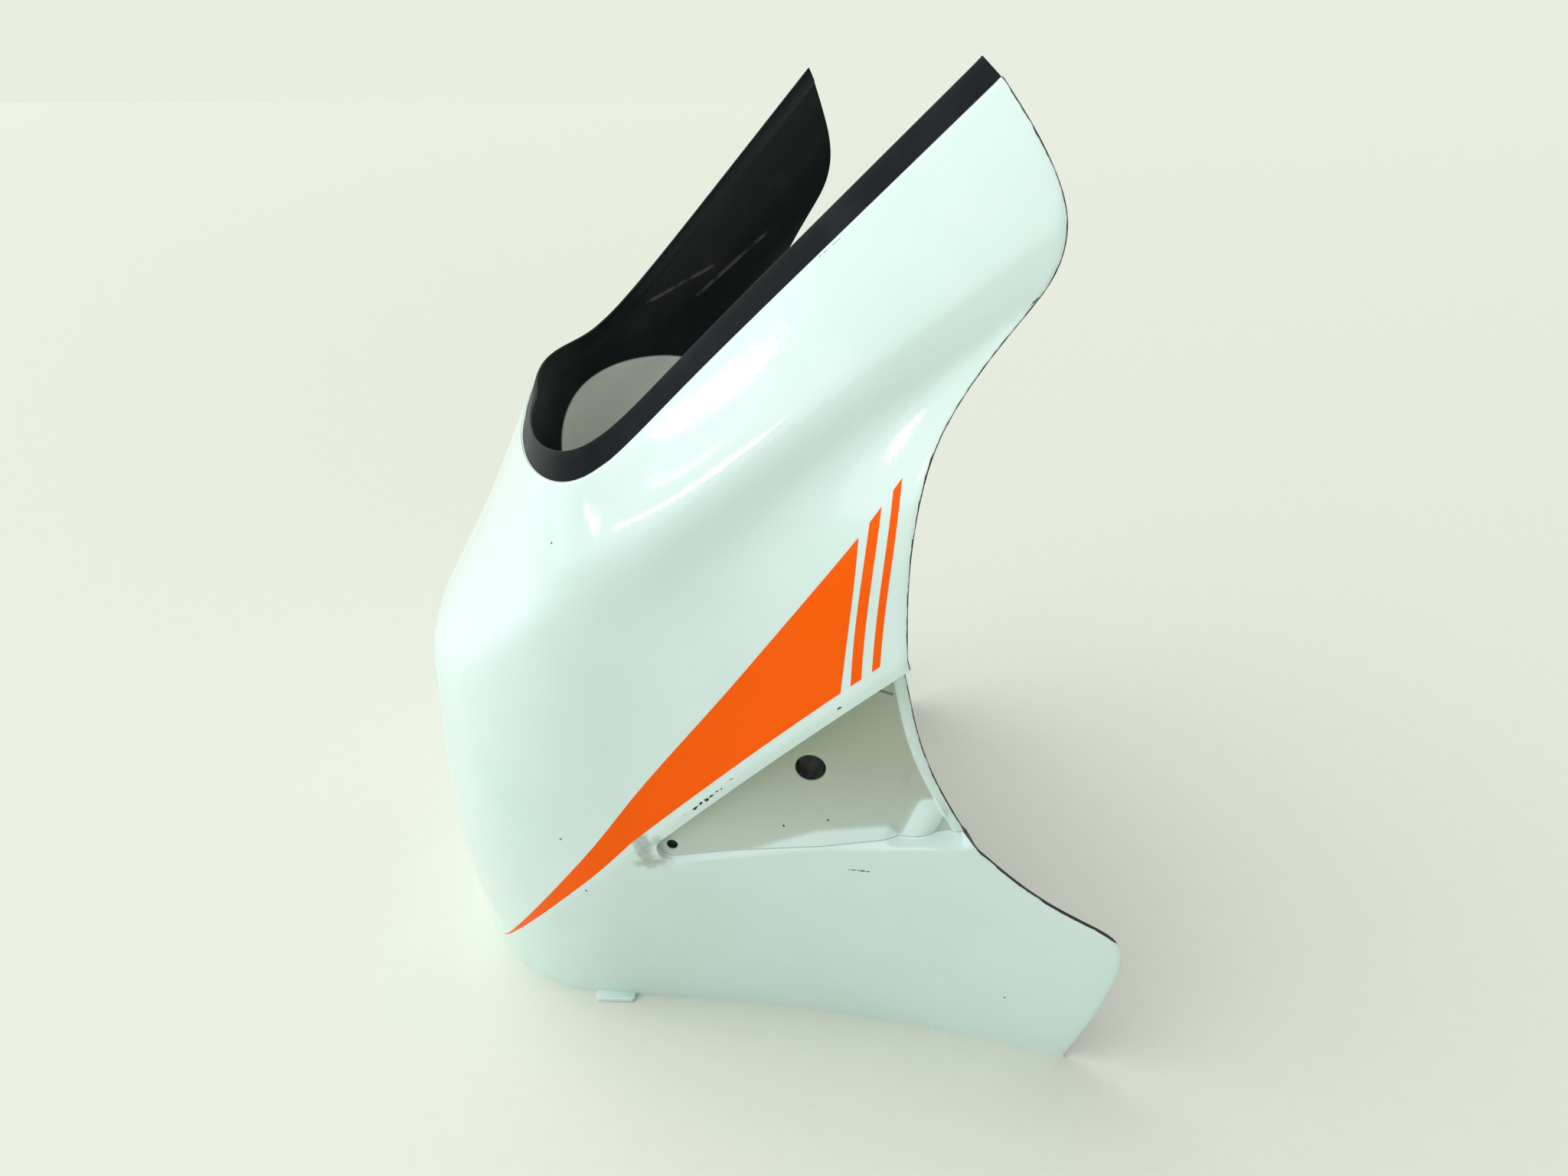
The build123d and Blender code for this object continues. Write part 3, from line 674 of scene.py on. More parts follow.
def lower_rear_outline():
    """Rear edge from the waist down to the rim, as (y, z)."""
    wing = [lower_edge(*p) for p in (RECESS_EDGE[-1], *LOWER_WING_EDGE)]
    end = [lower_edge(*p) for p in WING_END_EDGE]
    corner = [wing[-1], lower_edge(*WING_CORNER), end[0]]
    parts = [RECESS_REAR, side_outline(wing), side_outline(corner)]
    return np.concatenate([part[:-1] for part in parts] + [side_outline(end)])


LOWER_REAR = lower_rear_outline()
REAR = np.concatenate((upper_rear_outline()[:-1], LOWER_REAR))
FAN = np.arange(0.0, 90.0 + FAN_STEP / 2, FAN_STEP)
TABLE_YS = np.arange(0, TABLE_END_Y, 1.0)
NOSE_SECTIONS = [section_points(angle, 0.0) for angle in FAN]
SIDE_SECTIONS = [section_points(90, y) for y in TABLE_YS]
SIDE_SHARES = np.linspace(0, 1, SIDE_COLUMNS)[1:]


def row_end(heights):
    """Y where a row that rises over the table's stations meets the rear outline."""
    over = TABLE_YS - np.interp(-heights, -REAR[:, 1], REAR[:, 0])
    index = int(np.argmax(over > 0))
    share = over[index - 1] / (over[index - 1] - over[index])
    return TABLE_YS[index - 1] + share


def nose_grid(rows_of):
    """Rows of the left half of the nose as [column, row, xyz], from the middle to the fan axis."""
    return np.array([three(rows_of(points), angle, 0.0) for points, angle in zip(NOSE_SECTIONS, FAN)])


def side_grid(rows_of):
    """Rows of the left side as [column, row, xyz], from the fan axis to the rear edge."""
    rows = np.array([rows_of(points) for points in SIDE_SECTIONS])
    count = rows.shape[1]
    grid = np.zeros((1 + len(SIDE_SHARES) + len(ROLL), count, 3))
    for row in range(count):
        end = row_end(rows[:, row, 1])
        stop = end - EDGE_ROLL_WIDTH * ROLL_ROOM
        y = np.concatenate(([0.0], SIDE_SHARES * stop, end - EDGE_ROLL_WIDTH * ROLL))
        grid[:, row, 1] = y
        for axis, source in ((0, 0), (2, 1)):
            grid[:, row, axis] = np.interp(y, TABLE_YS, rows[:, row, source])
    return grid


def rolled(grid, first_row):
    """The side grid with its rear edge rounded off inwards."""
    sink = EDGE_ROLL_DEPTH * sunk_share(ROLL)
    grid[-len(ROLL):, first_row:, 0] -= sink[:, None]
    return grid


class Builder:
    """Collects points and faces of one mesh."""

    def __init__(self):
        self.points = []
        self.faces = []
        self.slots = []
        self.count = 0

    def add(self, points):
        start = self.count
        self.points.append(np.asarray(points, float).reshape(-1, 3))
        self.count += len(self.points[-1])
        return start

    def grid(self, grid, slots, skip=None):
        """Quads over [column, row]; slots gives each strip of rows its material."""
        columns, rows = grid.shape[:2]
        start = self.add(grid)
        for c in range(columns - 1):
            for r in range(rows - 1):
                if skip is not None and skip(c, r):
                    continue
                a = start + c * rows + r
                self.faces.append((a, a + rows, a + rows + 1, a + 1))
                self.slots.append(slots[r])

    def strip(self, one, two, slot, closed=False):
        """Quads between two rows of as many points."""
        start = self.add(one)
        other = self.add(two)
        count = len(one)
        for i in range(count if closed else count - 1):
            j = (i + 1) % count
            self.faces.append((start + i, start + j, other + j, other + i))
            self.slots.append(slot)

    def rings(self, rings, slots):
        """Closed strips between rings, each with its material."""
        for one, two, slot in zip(rings, rings[1:], slots):
            self.strip(one, two, slot, closed=True)

    def cap(self, ring, slot):
        start = self.add(ring)
        self.faces.append(tuple(range(start, start + len(ring))))
        self.slots.append(slot)

    def solid(self, rings, slot):
        """Body through rings, closed at both ends."""
        self.cap(rings[0], slot)
        self.rings(rings, [slot] * len(rings))
        self.cap(rings[-1], slot)

    def triangles(self, points, triangles, slot):
        start = self.add(points)
        for triangle in triangles:
            self.faces.append(tuple(start + i for i in triangle))
            self.slots.append(slot)

    def mirrored(self, left):
        """Takes over another builder's faces and their mirror images."""
        for sign in (1, -1):
            start = self.add(np.concatenate(left.points) * (sign, 1, 1))
            self.faces += [tuple(start + i for i in face) for face in left.faces]
            self.slots += left.slots


def cross(one, two):
    return one[..., 0] * two[..., 1] - one[..., 1] * two[..., 0]


def inside(points, loop):
    """Which points lie inside a closed loop."""
    x, y = points[:, 0], points[:, 1]
    result = np.zeros(len(points), bool)
    for (x1, y1), (x2, y2) in zip(loop, np.roll(loop, -1, 0)):
        if y1 == y2:
            continue
        crosses = ((y1 > y) != (y2 > y)) & (x < (x2 - x1) * (y - y1) / (y2 - y1) + x1)
        result ^= crosses
    return result


def fill(loop, holes=(), chains=(), free=()):
    """Triangles over a flat outline with holes, through chains of points and free points."""
    verts, edges = [], []
    loops = [loop, *holes]
    for index, chain in enumerate([*loops, *chains]):
        start = len(verts)
        verts += [Vector(p) for p in np.asarray(chain).tolist()]
        edges += [(start + i, start + i + 1) for i in range(len(chain) - 1)]
        if index < len(loops):
            edges.append((start + len(chain) - 1, start))
    verts += [Vector(p) for p in np.asarray(free).tolist()]
    out, _, faces, *_ = delaunay_2d_cdt(verts, edges, [], 0, FILL_TOLERANCE)
    points = np.array([tuple(v) for v in out])
    faces = np.array([tuple(f) for f in faces])
    middle = points[faces].mean(1)
    keep = inside(middle, np.asarray(loop))
    for hole in holes:
        keep &= ~inside(middle, np.asarray(hole))
    a, b, c = (points[faces[:, i]] for i in range(3))
    area = np.abs(cross(b - a, c - a))
    longest = np.max([np.linalg.norm(side, axis=1) for side in (b - a, c - b, a - c)], axis=0)
    return points, faces[keep & (area > SLIVER * longest)]


def line_distance(points, line):
    """Distance of points from a line of many points."""
    best = np.full(len(points), np.inf)
    for a, b in zip(line, line[1:]):
        along = b - a
        t = np.clip(((points - a) @ along) / (along @ along), 0, 1)
        best = np.minimum(best, np.linalg.norm(points - a - t[:, None] * along, axis=1))
    return best


# Recess outline: a wedge between the belt's margin and the step, rounded at its front end
MARGIN_DROP = RECESS_MARGIN * math.hypot(1, BELT_RISE)


def step_z(y):
    return RECESS_STEP_HEIGHT + RECESS_STEP_RISE * y


APEX_Y = (RECESS_STEP_HEIGHT - BELT_AXIS_HEIGHT + MARGIN_DROP) / (BELT_RISE - RECESS_STEP_RISE)
APEX = np.array((APEX_Y, step_z(APEX_Y)))
MARGIN_WAY = unit(np.array((1.0, BELT_RISE)))
STEP_WAY = unit(np.array((1.0, RECESS_STEP_RISE)))
MARGIN_IN = np.array((MARGIN_WAY[1], -MARGIN_WAY[0]))
STEP_IN = np.array((-STEP_WAY[1], STEP_WAY[0]))
HALF_TURN = math.acos(MARGIN_WAY @ STEP_WAY) / 2
APEX_CENTRE = APEX + unit(MARGIN_WAY + STEP_WAY) * RECESS_APEX_RADIUS / math.sin(HALF_TURN)


def recess_distances(points):
    """Distances under the margin, over the step and from the apex's centre, and who lies in its corner."""
    upper = (points - APEX) @ MARGIN_IN
    lower = (points - APEX) @ STEP_IN
    out = points - APEX_CENTRE
    corner = (out @ MARGIN_WAY < 0) & (out @ STEP_WAY < 0)
    return upper, lower, np.linalg.norm(out, axis=1), corner


def recess_inside(points):
    """Signed distance into the recess outline, in the side view."""
    upper, lower, away, corner = recess_distances(points)
    return np.where(corner, RECESS_APEX_RADIUS - away, np.minimum(upper, lower))


def turned(first, last, count):
    """Unit ways from a first to a last one, turning left."""
    start = math.atan2(first[1], first[0])
    end = math.atan2(last[1], last[0])
    if end < start:
        end += 2 * math.pi
    angles = np.linspace(start, end, count)
    return np.stack((np.cos(angles), np.sin(angles)), 1)


def recess_chain(depth):
    """Line at a depth inside the recess outline, from the rear along the top and back along the step."""
    radius = RECESS_APEX_RADIUS - depth
    arc = APEX_CENTRE + radius * turned(-MARGIN_IN, -STEP_IN, APEX_COUNT)
    gaps = np.arange(1, CHAIN_LENGTH, CHAIN_STEP)
    upper = arc[0] + gaps[::-1, None] * MARGIN_WAY
    lower = arc[-1] + gaps[:, None] * STEP_WAY
    return np.concatenate((upper, arc, lower))


def step_chain(depth):
    """The part of such a line that runs along the step."""
    start = APEX_CENTRE - STEP_IN * (RECESS_APEX_RADIUS - depth)
    return start + np.arange(0, CHAIN_LENGTH, CHAIN_STEP)[:, None] * STEP_WAY


# Recess floor: a plane in the axis frame
FLOOR_NORMAL = unit(np.array((1.0, -RECESS_FLARE, -RECESS_LEAN)))
FLOOR_ORIGIN = np.array((rim_x(RECESS_APEX_Y) + LEAN * step_z(RECESS_APEX_Y) - RECESS_APEX_DEPTH,
                         RECESS_APEX_Y, step_z(RECESS_APEX_Y)))


def floor_x(points):
    """X of the recess floor at places (y, z) of the side view."""
    y = points[:, 0] - FLOOR_ORIGIN[1]
    z = points[:, 1] - FLOOR_ORIGIN[2]
    return FLOOR_ORIGIN[0] - (FLOOR_NORMAL[1] * y + FLOOR_NORMAL[2] * z) / FLOOR_NORMAL[0]


def on_floor(points):
    return np.column_stack((floor_x(points), points))


def floor_relief(points):
    """Height of lip, ramp, hump and dimple over the recess floor."""
    rear_y = np.interp(-points[:, 1], -RECESS_REAR[:, 1], RECESS_REAR[:, 0])
    lip = LIP_HEIGHT * ease(points[:, 0] - (rear_y - LIP_WIDTH), -LIP_SOFT, LIP_SOFT)
    solid = on_floor(points)
    facets = [(RAMP_START_Y, step_z(RAMP_START_Y)), *RAMP_TOP, (RAMP_END_Y, step_z(RAMP_END_Y))]
    corners = on_floor(np.array(facets))
    climb = np.full(len(points), np.inf)
    for start, end in zip(corners, corners[1:]):
        inward = -np.cross(FLOOR_NORMAL, unit(end - start))
        climb = np.minimum(climb, (solid - start) @ inward)
    ramp_height = ramp(climb * RAMP_SLOPE, RAMP_SOFT)
    foot, top = on_floor(np.array((HUMP_FOOT, HUMP_TOP)))
    away = line_distance(solid, np.array((foot, top)))
    round_height = np.sqrt(np.maximum(HUMP_RADIUS ** 2 - away ** 2, 0)) - (HUMP_RADIUS - HUMP_HEIGHT)
    hump = ramp(round_height, HUMP_SOFT)
    centre = on_floor(np.array((DIMPLE[:2],)))[0]
    off = np.linalg.norm(solid - centre, axis=1) / DIMPLE[2]
    dimple = DIMPLE_DEPTH * (1 - ease(off, *DIMPLE_ROUND))
    return lip + np.maximum(ramp_height, hump) - dimple


def wall_depth(points):
    """Depth inside the recess outline, drawn out along the step so that its wall slopes."""
    upper, lower, away, corner = recess_distances(points)
    below = (APEX_CENTRE - points) @ STEP_IN
    low_corner = ease(below / np.maximum(away, TINY), 0.0, 1.0)
    slope = np.where(corner, low_corner, lower < upper)
    squeeze = blend(1.0, (WALL_END - WALL_START) / (WALL_END + STEP_SLOPE_WIDTH), slope)
    return WALL_END - (WALL_END - recess_inside(points)) * squeeze


def panel_out(points):
    """X of the lower panel's outside, with the recess sunk into it and the rear edge rolled in."""
    skin = rim_x(points[:, 0]) + LEAN * points[:, 1]
    floor = floor_x(points) + floor_relief(points) / FLOOR_NORMAL[0]
    sunk = ease(wall_depth(points), WALL_START, WALL_END)
    near = np.clip(line_distance(points, LOWER_REAR) / EDGE_ROLL_WIDTH, 0, 1)
    return blend(skin, np.minimum(floor, skin), sunk) - EDGE_ROLL_DEPTH * sunk_share(near)


def panel_in(points):
    """X of the lower panel's inside, with the recess standing out behind it."""
    skin = rim_x(points[:, 0]) + LEAN * points[:, 1] - WALL * math.hypot(1, LEAN)
    floor = floor_x(points) - WALL / FLOOR_NORMAL[0]
    sunk = ease(recess_inside(points) + WALL, WALL_START, WALL_END)
    return blend(skin, np.minimum(floor, skin), sunk)


def hole_loop(hole, grow, height):
    """Round of points about a hole's axis in the recess floor, at a height over it."""
    centre = on_floor(np.array((hole[:2],)))[0] + FLOOR_NORMAL * height
    across = unit(np.cross((0, 0, 1), FLOOR_NORMAL))
    up = np.cross(FLOOR_NORMAL, across)
    turns = np.linspace(0, 2 * math.pi, HOLE_COUNT, endpoint=False)
    return centre + (hole[2] + grow) * (np.cos(turns)[:, None] * across + np.sin(turns)[:, None] * up)


def crossing(chain, line):
    """Where a chain first meets a line of points: its index in the chain and the point."""
    for i, (a, b) in enumerate(zip(chain, chain[1:])):
        for c, d in zip(line, line[1:]):
            turn = cross(b - a, d - c)
            if abs(turn) < SAME_WAY:
                continue
            t = cross(c - a, d - c) / turn
            u = cross(c - a, b - a) / turn
            if 0 <= t <= 1 and 0 <= u <= 1:
                return i, a + t * (b - a)
    return None


def clipped(chain, line):
    """The middle stretch of a chain between its two meetings with a line."""
    first = crossing(chain, line)
    last = crossing(chain[::-1], line)
    inner = chain[first[0] + 1:len(chain) - 1 - last[0]]
    return np.concatenate(([first[1]], inner, [last[1]])), [first[1], last[1]]


def evenly(line, gap):
    """Points along a line at about even gaps."""
    run = spacing(line)
    length = np.linalg.norm(np.diff(line, axis=0), axis=1).sum()
    places = np.linspace(0, 1, max(int(length / gap), 2) + 1)
    return np.stack([np.interp(places, run, line[:, axis]) for axis in (0, 1)], 1)


def with_points(line, extra):
    """A line of points with more points of the same line put in their places."""
    fine = line
    for point in extra:
        gaps = [np.linalg.norm(point - a) + np.linalg.norm(b - point) - np.linalg.norm(b - a)
                for a, b in zip(fine, fine[1:])]
        at = int(np.argmin(gaps))
        fine = np.insert(fine, at + 1, point, axis=0)
    keep = np.concatenate(([True], np.linalg.norm(np.diff(fine, axis=0), axis=1) > LEAST_GAP))
    return fine[keep]


def parallel(line, distance):
    """The line moved sideways by a distance, to its right hand."""
    way = np.gradient(line, axis=0)
    way /= np.linalg.norm(way, axis=1)[:, None]
    return line + distance * np.stack((way[:, 1], -way[:, 0]), 1)


def spread(loop, gap, keep):
    """Even points inside a loop where keep says so."""
    low, high = loop.min(0), loop.max(0)
    ys = np.arange(low[0] + gap / 2, high[0], gap)
    zs = np.arange(low[1] + gap / 2, high[1], gap)
    grid = np.array([(y + (gap / 2) * (k % 2), z) for k, z in enumerate(zs) for y in ys])
    grid = grid[inside(grid, loop)]
    closed = np.concatenate((loop, loop[:1]))
    return grid[(line_distance(grid, closed) > gap / 2) & keep(grid)]


def place_key(place):
    return tuple(round(float(value), PLACE_DIGITS) for value in place)


def known(*sets):
    """X of points (x, y, z) by their places in the side view."""
    return {place_key(point[1:]): float(point[0]) for points in sets for point in points}


def lifted(points, x_of, table):
    """Side-view points with their X, taken from the table where it knows the place."""
    x = x_of(points)
    for i, place in enumerate(points):
        x[i] = table.get(place_key(place), x[i])
    return np.column_stack((x, points))


def bottom_points(front):
    """Even points along the rim's side view, from the fan axis to the rear end."""
    y = np.linspace(0, LOWER_REAR[-1, 0], RIM_COUNT)
    points = np.column_stack((y, np.zeros_like(y)))
    points[0] = front[-1, 1:]
    return points


def form_lines(loop):
    """Lines along the rolled border, the step's slope and the lip, inside the lower panel's loop."""
    closed = np.concatenate((loop, loop[:1]))

    def cut(line, room):
        return line[inside(line, loop) & (line_distance(line, closed) > room)]

    borders = [parallel(LOWER_REAR, EDGE_ROLL_WIDTH * share) for share in ROLL_LINES]
    lines = [cut(evenly(border, ROLL_STEP), REAR_ROOM) for border in borders]
    lines += [cut(step_chain(depth), LINE_ROOM) for depth in STEP_SLOPE_DEPTHS]
    for off in (LIP_WIDTH - LIP_SOFT, LIP_WIDTH, LIP_WIDTH + LIP_SOFT):
        line = evenly(RECESS_REAR, LIP_STEP) - (off, 0)
        lines.append(line[recess_inside(line) > LIP_DEPTH])
    return lines


def free_points(loop, holes, grow):
    """Loose points over the lower panel, close together on the recess floor."""

    def fine(points):
        clear = [line_distance(points, np.vstack((hole, hole[:1]))) > LINE_ROOM for hole in holes]
        return (recess_inside(points) > FINE_DEPTH) & np.all(clear, 0)

    def coarse(points):
        return recess_inside(points) - grow < COARSE_DEPTH

    return np.concatenate((spread(loop, FLOOR_POINT_GAP, fine), spread(loop, PANEL_POINT_GAP, coarse)))


def lower_patch(top_row, front, outer):
    """Left lower panel behind the fan axis: points, triangles, and its rear and bottom edges."""
    x_of = panel_out if outer else panel_in
    grow = 0.0 if outer else -WALL
    hole_edge = (HOLE_ROUND, 0.0) if outer else (0.0, -WALL)
    top = top_row[:, 1:]
    rear = LOWER_REAR[LOWER_REAR[:, 1] < top[-1, 1] - REAR_ROOM]
    rear = np.concatenate((top[-1:], evenly(rear, REAR_STEP)))
    chains, marks = [], []
    for depth in WALL_DEPTHS_OUT if outer else WALL_DEPTHS_IN:
        chain, ends = clipped(recess_chain(depth + grow), rear)
        chains.append(chain)
        marks += ends
    rear = with_points(rear, marks)
    bottom = bottom_points(front)
    rear[-1] = bottom[-1]
    loop = np.concatenate((bottom[:-1], rear[::-1][:-1], top[::-1][:-1], front[:-1, 1:]))
    if outer:
        chains += form_lines(loop)
    rim = rim_x(bottom[:, 0]) + grow * math.hypot(1, LEAN)
    rings = [hole_loop(hole, *hole_edge) for hole in (SIGNAL_HOLE, SCREW_HOLE)]
    table = known(top_row, front, np.column_stack((rim, bottom)), *rings)
    holes = [ring[:, 1:] for ring in rings]
    free = free_points(loop, holes, grow)
    points, faces = fill(loop, holes, [chain for chain in chains if len(chain) > 1], free)
    return lifted(points, x_of, table), faces, lifted(rear, x_of, table), lifted(bottom, x_of, table)


def hole_walls(builder):
    """Rounded edge and bore of each hole in the recess floor, and a black tube behind it that stands in for
    the shade inside the moulding.
    """
    middle = HOLE_ROUND * ROUND_MIDDLE
    edge = ((HOLE_ROUND, 0.0), (middle, -middle), (0.0, -HOLE_ROUND), (0.0, -WALL))
    for hole, length in ((SIGNAL_HOLE, SIGNAL_SHADE_TUBE_LENGTH), (SCREW_HOLE, SCREW_SHADE_TUBE_LENGTH)):
        # Black tube: a dark thing put in for the shade seen through the hole.
        shade_tube = ((0.0, -length), (SHADE_TUBE_WALL, -length), (SHADE_TUBE_WALL, -WALL))
        rings = [hole_loop(hole, grow, height) for grow, height in edge + shade_tube]
        builder.rings(rings, (PAINT, PAINT, RUB_AND_SHEEN, RUB_AND_SHEEN, BARE, BARE))


def light_loop(grow):
    """Headlight opening in the front view as (x, z), grown by a distance."""
    top = np.array((LIGHT_TOP_HALF_WIDTH, LIGHT_TOP_Z))
    foot = np.array((LIGHT_BOTTOM_HALF_WIDTH, LIGHT_BOTTOM_Z))
    corners = [top, top * (-1, 1), foot * (-1, 1), foot]
    arcs = []
    for before, corner, after in zip(corners[-1:] + corners[:-1], corners, corners[1:] + corners[:1]):
        one, two = unit(before - corner), unit(after - corner)
        half = math.acos(one @ two) / 2
        centre = corner + unit(one + two) * LIGHT_CORNER_RADIUS / math.sin(half)
        ring = turned((-one[1], one[0]), (two[1], -two[0]), LIGHT_CORNER_COUNT)
        arcs.append(centre + (LIGHT_CORNER_RADIUS + grow) * ring)
    loop = []
    for arc, following in zip(arcs, arcs[1:] + arcs[:1]):
        loop.append(arc)
        loop.append(evenly(np.array((arc[-1], following[0])), LIGHT_STEP)[1:-1])
    loop = np.concatenate(loop)
    arch = LIGHT_ARCH * (1 - (loop[:, 0] / LIGHT_TOP_HALF_WIDTH) ** 2)
    loop[:, 1] += np.maximum(arch, 0) * ease(loop[:, 1], LIGHT_TOP_Z - LIGHT_ARCH_REACH, LIGHT_TOP_Z)
    return loop


def light_block(grid):
    """Last column and first and last row of the nose's cells that the headlight opening takes out."""
    far = LIGHT_TOP_HALF_WIDTH + LIGHT_BLOCK_SIDE
    column = int(np.argmax(grid[:, :, 0].max(1) > far))
    column = max(column, int(np.argmax(grid[:, len(grid[0]) // 2, 0] > far)))
    heights = grid[:column + 1, :, 2]
    above = heights.min(0) > LIGHT_TOP_Z + LIGHT_ARCH + LIGHT_BLOCK_HEIGHT
    first = int(np.max(np.nonzero(above)))
    last = int(np.argmax(heights.max(0) < LIGHT_BOTTOM_Z - LIGHT_BLOCK_HEIGHT))
    return column, first, last


def search_tree(*grids):
    """Search tree of some grids."""
    builder = Builder()
    for grid in grids:
        builder.grid(grid, [PAINT] * grid.shape[1])
    return BVHTree.FromPolygons(np.concatenate(builder.points).tolist(), builder.faces)


def both_halves(grid):
    """A nose grid with its mirror image, from right to left."""
    return np.concatenate((grid[:0:-1] * (-1, 1, 1), grid))


def front_hits(tree, loop):
    """Points of a front-view loop carried on to a surface."""
    hits = []
    for x, z in loop:
        hit = tree.ray_cast((float(x), -FAR, float(z)), (0, 1, 0))[0]
        hits.append((x, hit.y, z))
    return np.array(hits)


def nose_patch(grid, block, grow):
    """Triangles over the nose's block round the headlight opening, and the opening's edge there."""
    column, first, last = block
    both = both_halves(grid)
    tree = search_tree(both)
    middle = len(grid) - 1
    cells = both[middle - column:middle + column + 1, first:last + 1]
    flat = cells[:, :, (0, 2)]
    loop = np.concatenate((flat[:-1, 0], flat[-1, :-1], flat[:0:-1, -1], flat[0, :0:-1]))
    edge = light_loop(grow)
    closed = np.vstack((edge, edge[:1]))
    inner = flat[1:-1, 1:-1].reshape(-1, 2)
    inner = inner[~inside(inner, edge) & (line_distance(inner, closed) > LIGHT_ROOM)]
    points, faces = fill(loop, [edge], (), inner)
    rim = front_hits(tree, edge)
    swapped = (1, 0, 2)
    table = known(cells.reshape(-1, 3)[:, swapped], rim[:, swapped])
    solid = lifted(points, lambda places: front_hits(tree, places)[:, 1], table)
    return solid[:, swapped], faces, rim


def placed(loop, y):
    """Front-view points (x, z) at one Y, or each at its own."""
    return np.column_stack((loop[:, 0], np.broadcast_to(y, len(loop)), loop[:, 1]))


def light_lip(builder, skin, back):
    """Rounded edge of the headlight opening, its return lip and the lip's back."""
    start = skin[:, 1]
    end = np.maximum(LIGHT_LIP_Y, np.maximum(start, back[:, 1]) + WALL)
    middle = LIGHT_EDGE * ROUND_MIDDLE
    profile = ((middle, start + middle), (0.0, start + LIGHT_EDGE), (0.0, end - LIGHT_LIP_ROUND),
               (LIGHT_LIP_ROUND, end), (WALL - LIGHT_LIP_ROUND, end), (WALL, end - LIGHT_LIP_ROUND))
    rings = [placed(light_loop(grow), y) for grow, y in profile]
    builder.rings([skin, *rings, back], (PAINT, PAINT, PAINT, BARE, BARE, BARE, BARE))


def ring_at(x, z, radius, y):
    turns = np.linspace(0, 2 * math.pi, POST_COUNT, endpoint=False)
    return placed(np.column_stack((x + radius * np.cos(turns), z + radius * np.sin(turns))), y)


def posts(builder, tree):
    """Screw posts on the inside of the nose, left side."""
    hole_edge = POST_HOLE_RADIUS + POST_HOLE_ROUND
    for x, z in POST_PLACES:
        foot = ring_at(x, z, POST_RADIUS, 0.0)
        root = front_hits(tree, foot[:, (0, 2)])[:, 1] + WALL / 2
        profile = ((POST_RADIUS, root), (POST_RADIUS, POST_END_Y - POST_ROUND),
                   (POST_RADIUS - POST_ROUND, POST_END_Y), (hole_edge, POST_END_Y),
                   (POST_HOLE_RADIUS, POST_END_Y - POST_HOLE_ROUND),
                   (POST_HOLE_RADIUS, POST_END_Y - POST_HOLE_DEPTH))
        builder.solid([ring_at(x, z, radius, y) for radius, y in profile], BARE)


def tongue(builder):
    """Flat locating tongue at the rim, left side, with rounded corners."""
    turn = Matrix.Rotation(-math.atan(RIM_FLARE), 3, "Z")
    origin = Vector((RIM_HALF_WIDTH + RIM_FLARE * TONGUE_Y, TONGUE_Y, 0))
    half = TONGUE_LENGTH / 2
    corner = TONGUE_REACH * TONGUE_CORNER
    arc = turned((1, 0), (0, 1), TONGUE_COUNT) * corner
    near = np.array((TONGUE_REACH - corner, half - corner))
    outline = [near + a for a in arc] + [(-TONGUE_ROOT, half), (-TONGUE_ROOT, -half)]
    outline += [(near[0] + a[0], -near[1] - a[1]) for a in arc[::-1]]
    rings = []
    for height, size in TONGUE_LAYERS:
        rings.append(np.array([origin + turn @ Vector((x * size, y * size, height)) for x, y in outline]))
    builder.solid(rings, PAINT)


def zipped(builder, one, two, slot):
    """Triangles between two lines of points, each step by the shorter way across."""
    a = builder.add(one)
    b = builder.add(two)
    i = j = 0
    while i < len(one) - 1 or j < len(two) - 1:
        ahead_one = np.linalg.norm(one[i + 1] - two[j]) if i < len(one) - 1 else np.inf
        ahead_two = np.linalg.norm(one[i] - two[j + 1]) if j < len(two) - 1 else np.inf
        if ahead_one <= ahead_two:
            builder.faces.append((a + i, a + i + 1, b + j))
            i += 1
        else:
            builder.faces.append((a + i, b + j + 1, b + j))
            j += 1
        builder.slots.append(slot)


def lower_nose(grid, foot):
    """Rows of the left nose from the belt crease's foot down to the rim."""
    shares = np.linspace(0, 1, LOWER_STEPS + 1)
    return grid[:, -1, None] + (foot - grid[:, -1])[:, None] * shares[None, :, None]


def rim_points(depth):
    """Rim of the left nose at a depth behind the outside."""
    points = []
    for section, angle in zip(NOSE_SECTIONS, FAN):
        out = inset(section, depth)[-1] if depth else section[-1]
        points.append(three(out[None, :], angle, 0.0)[0])
    return np.array(points)


def wall_surface(left, rows_of, outer):
    """One surface of the wall on the left: nose, side and lower panel. Gives its rear and bottom edges."""
    nose = nose_grid(rows_of)
    side = side_grid(rows_of)
    if outer:
        side = rolled(side, LEDGE_EDGE_ROWS)
    block = light_block(nose)
    column, first, last = block
    count = nose.shape[1]
    slots = [BARE if not outer or row < LEDGE_ROWS - 1 else PAINT for row in range(count)]
    left.grid(nose, slots, skip=lambda c, r: c < column and first <= r < last)
    left.grid(side, slots)
    lower = lower_nose(nose, rim_points(0.0 if outer else WALL))
    slot = PAINT if outer else BARE
    left.grid(lower, [slot] * LOWER_STEPS)
    points, faces, rear, bottom = lower_patch(side[:, -1], lower[-1], outer)
    left.triangles(points, faces, slot)
    rear = np.concatenate((side[-1], rear[1:]))
    bottom = np.concatenate((lower[:, -1], bottom[1:]))
    return nose, side, block, rear, bottom


def carried(tree, places, way):
    """Side-view points carried sideways on to a surface, and its normals turned against the way."""
    points, normals = [], []
    for y, z in places:
        point, normal, *_ = tree.ray_cast((-FAR * way, float(y), float(z)), (way, 0, 0))
        points.append(point)
        normals.append(normal if normal.x * way < 0 else -normal)
    return np.array(points), np.array(normals)


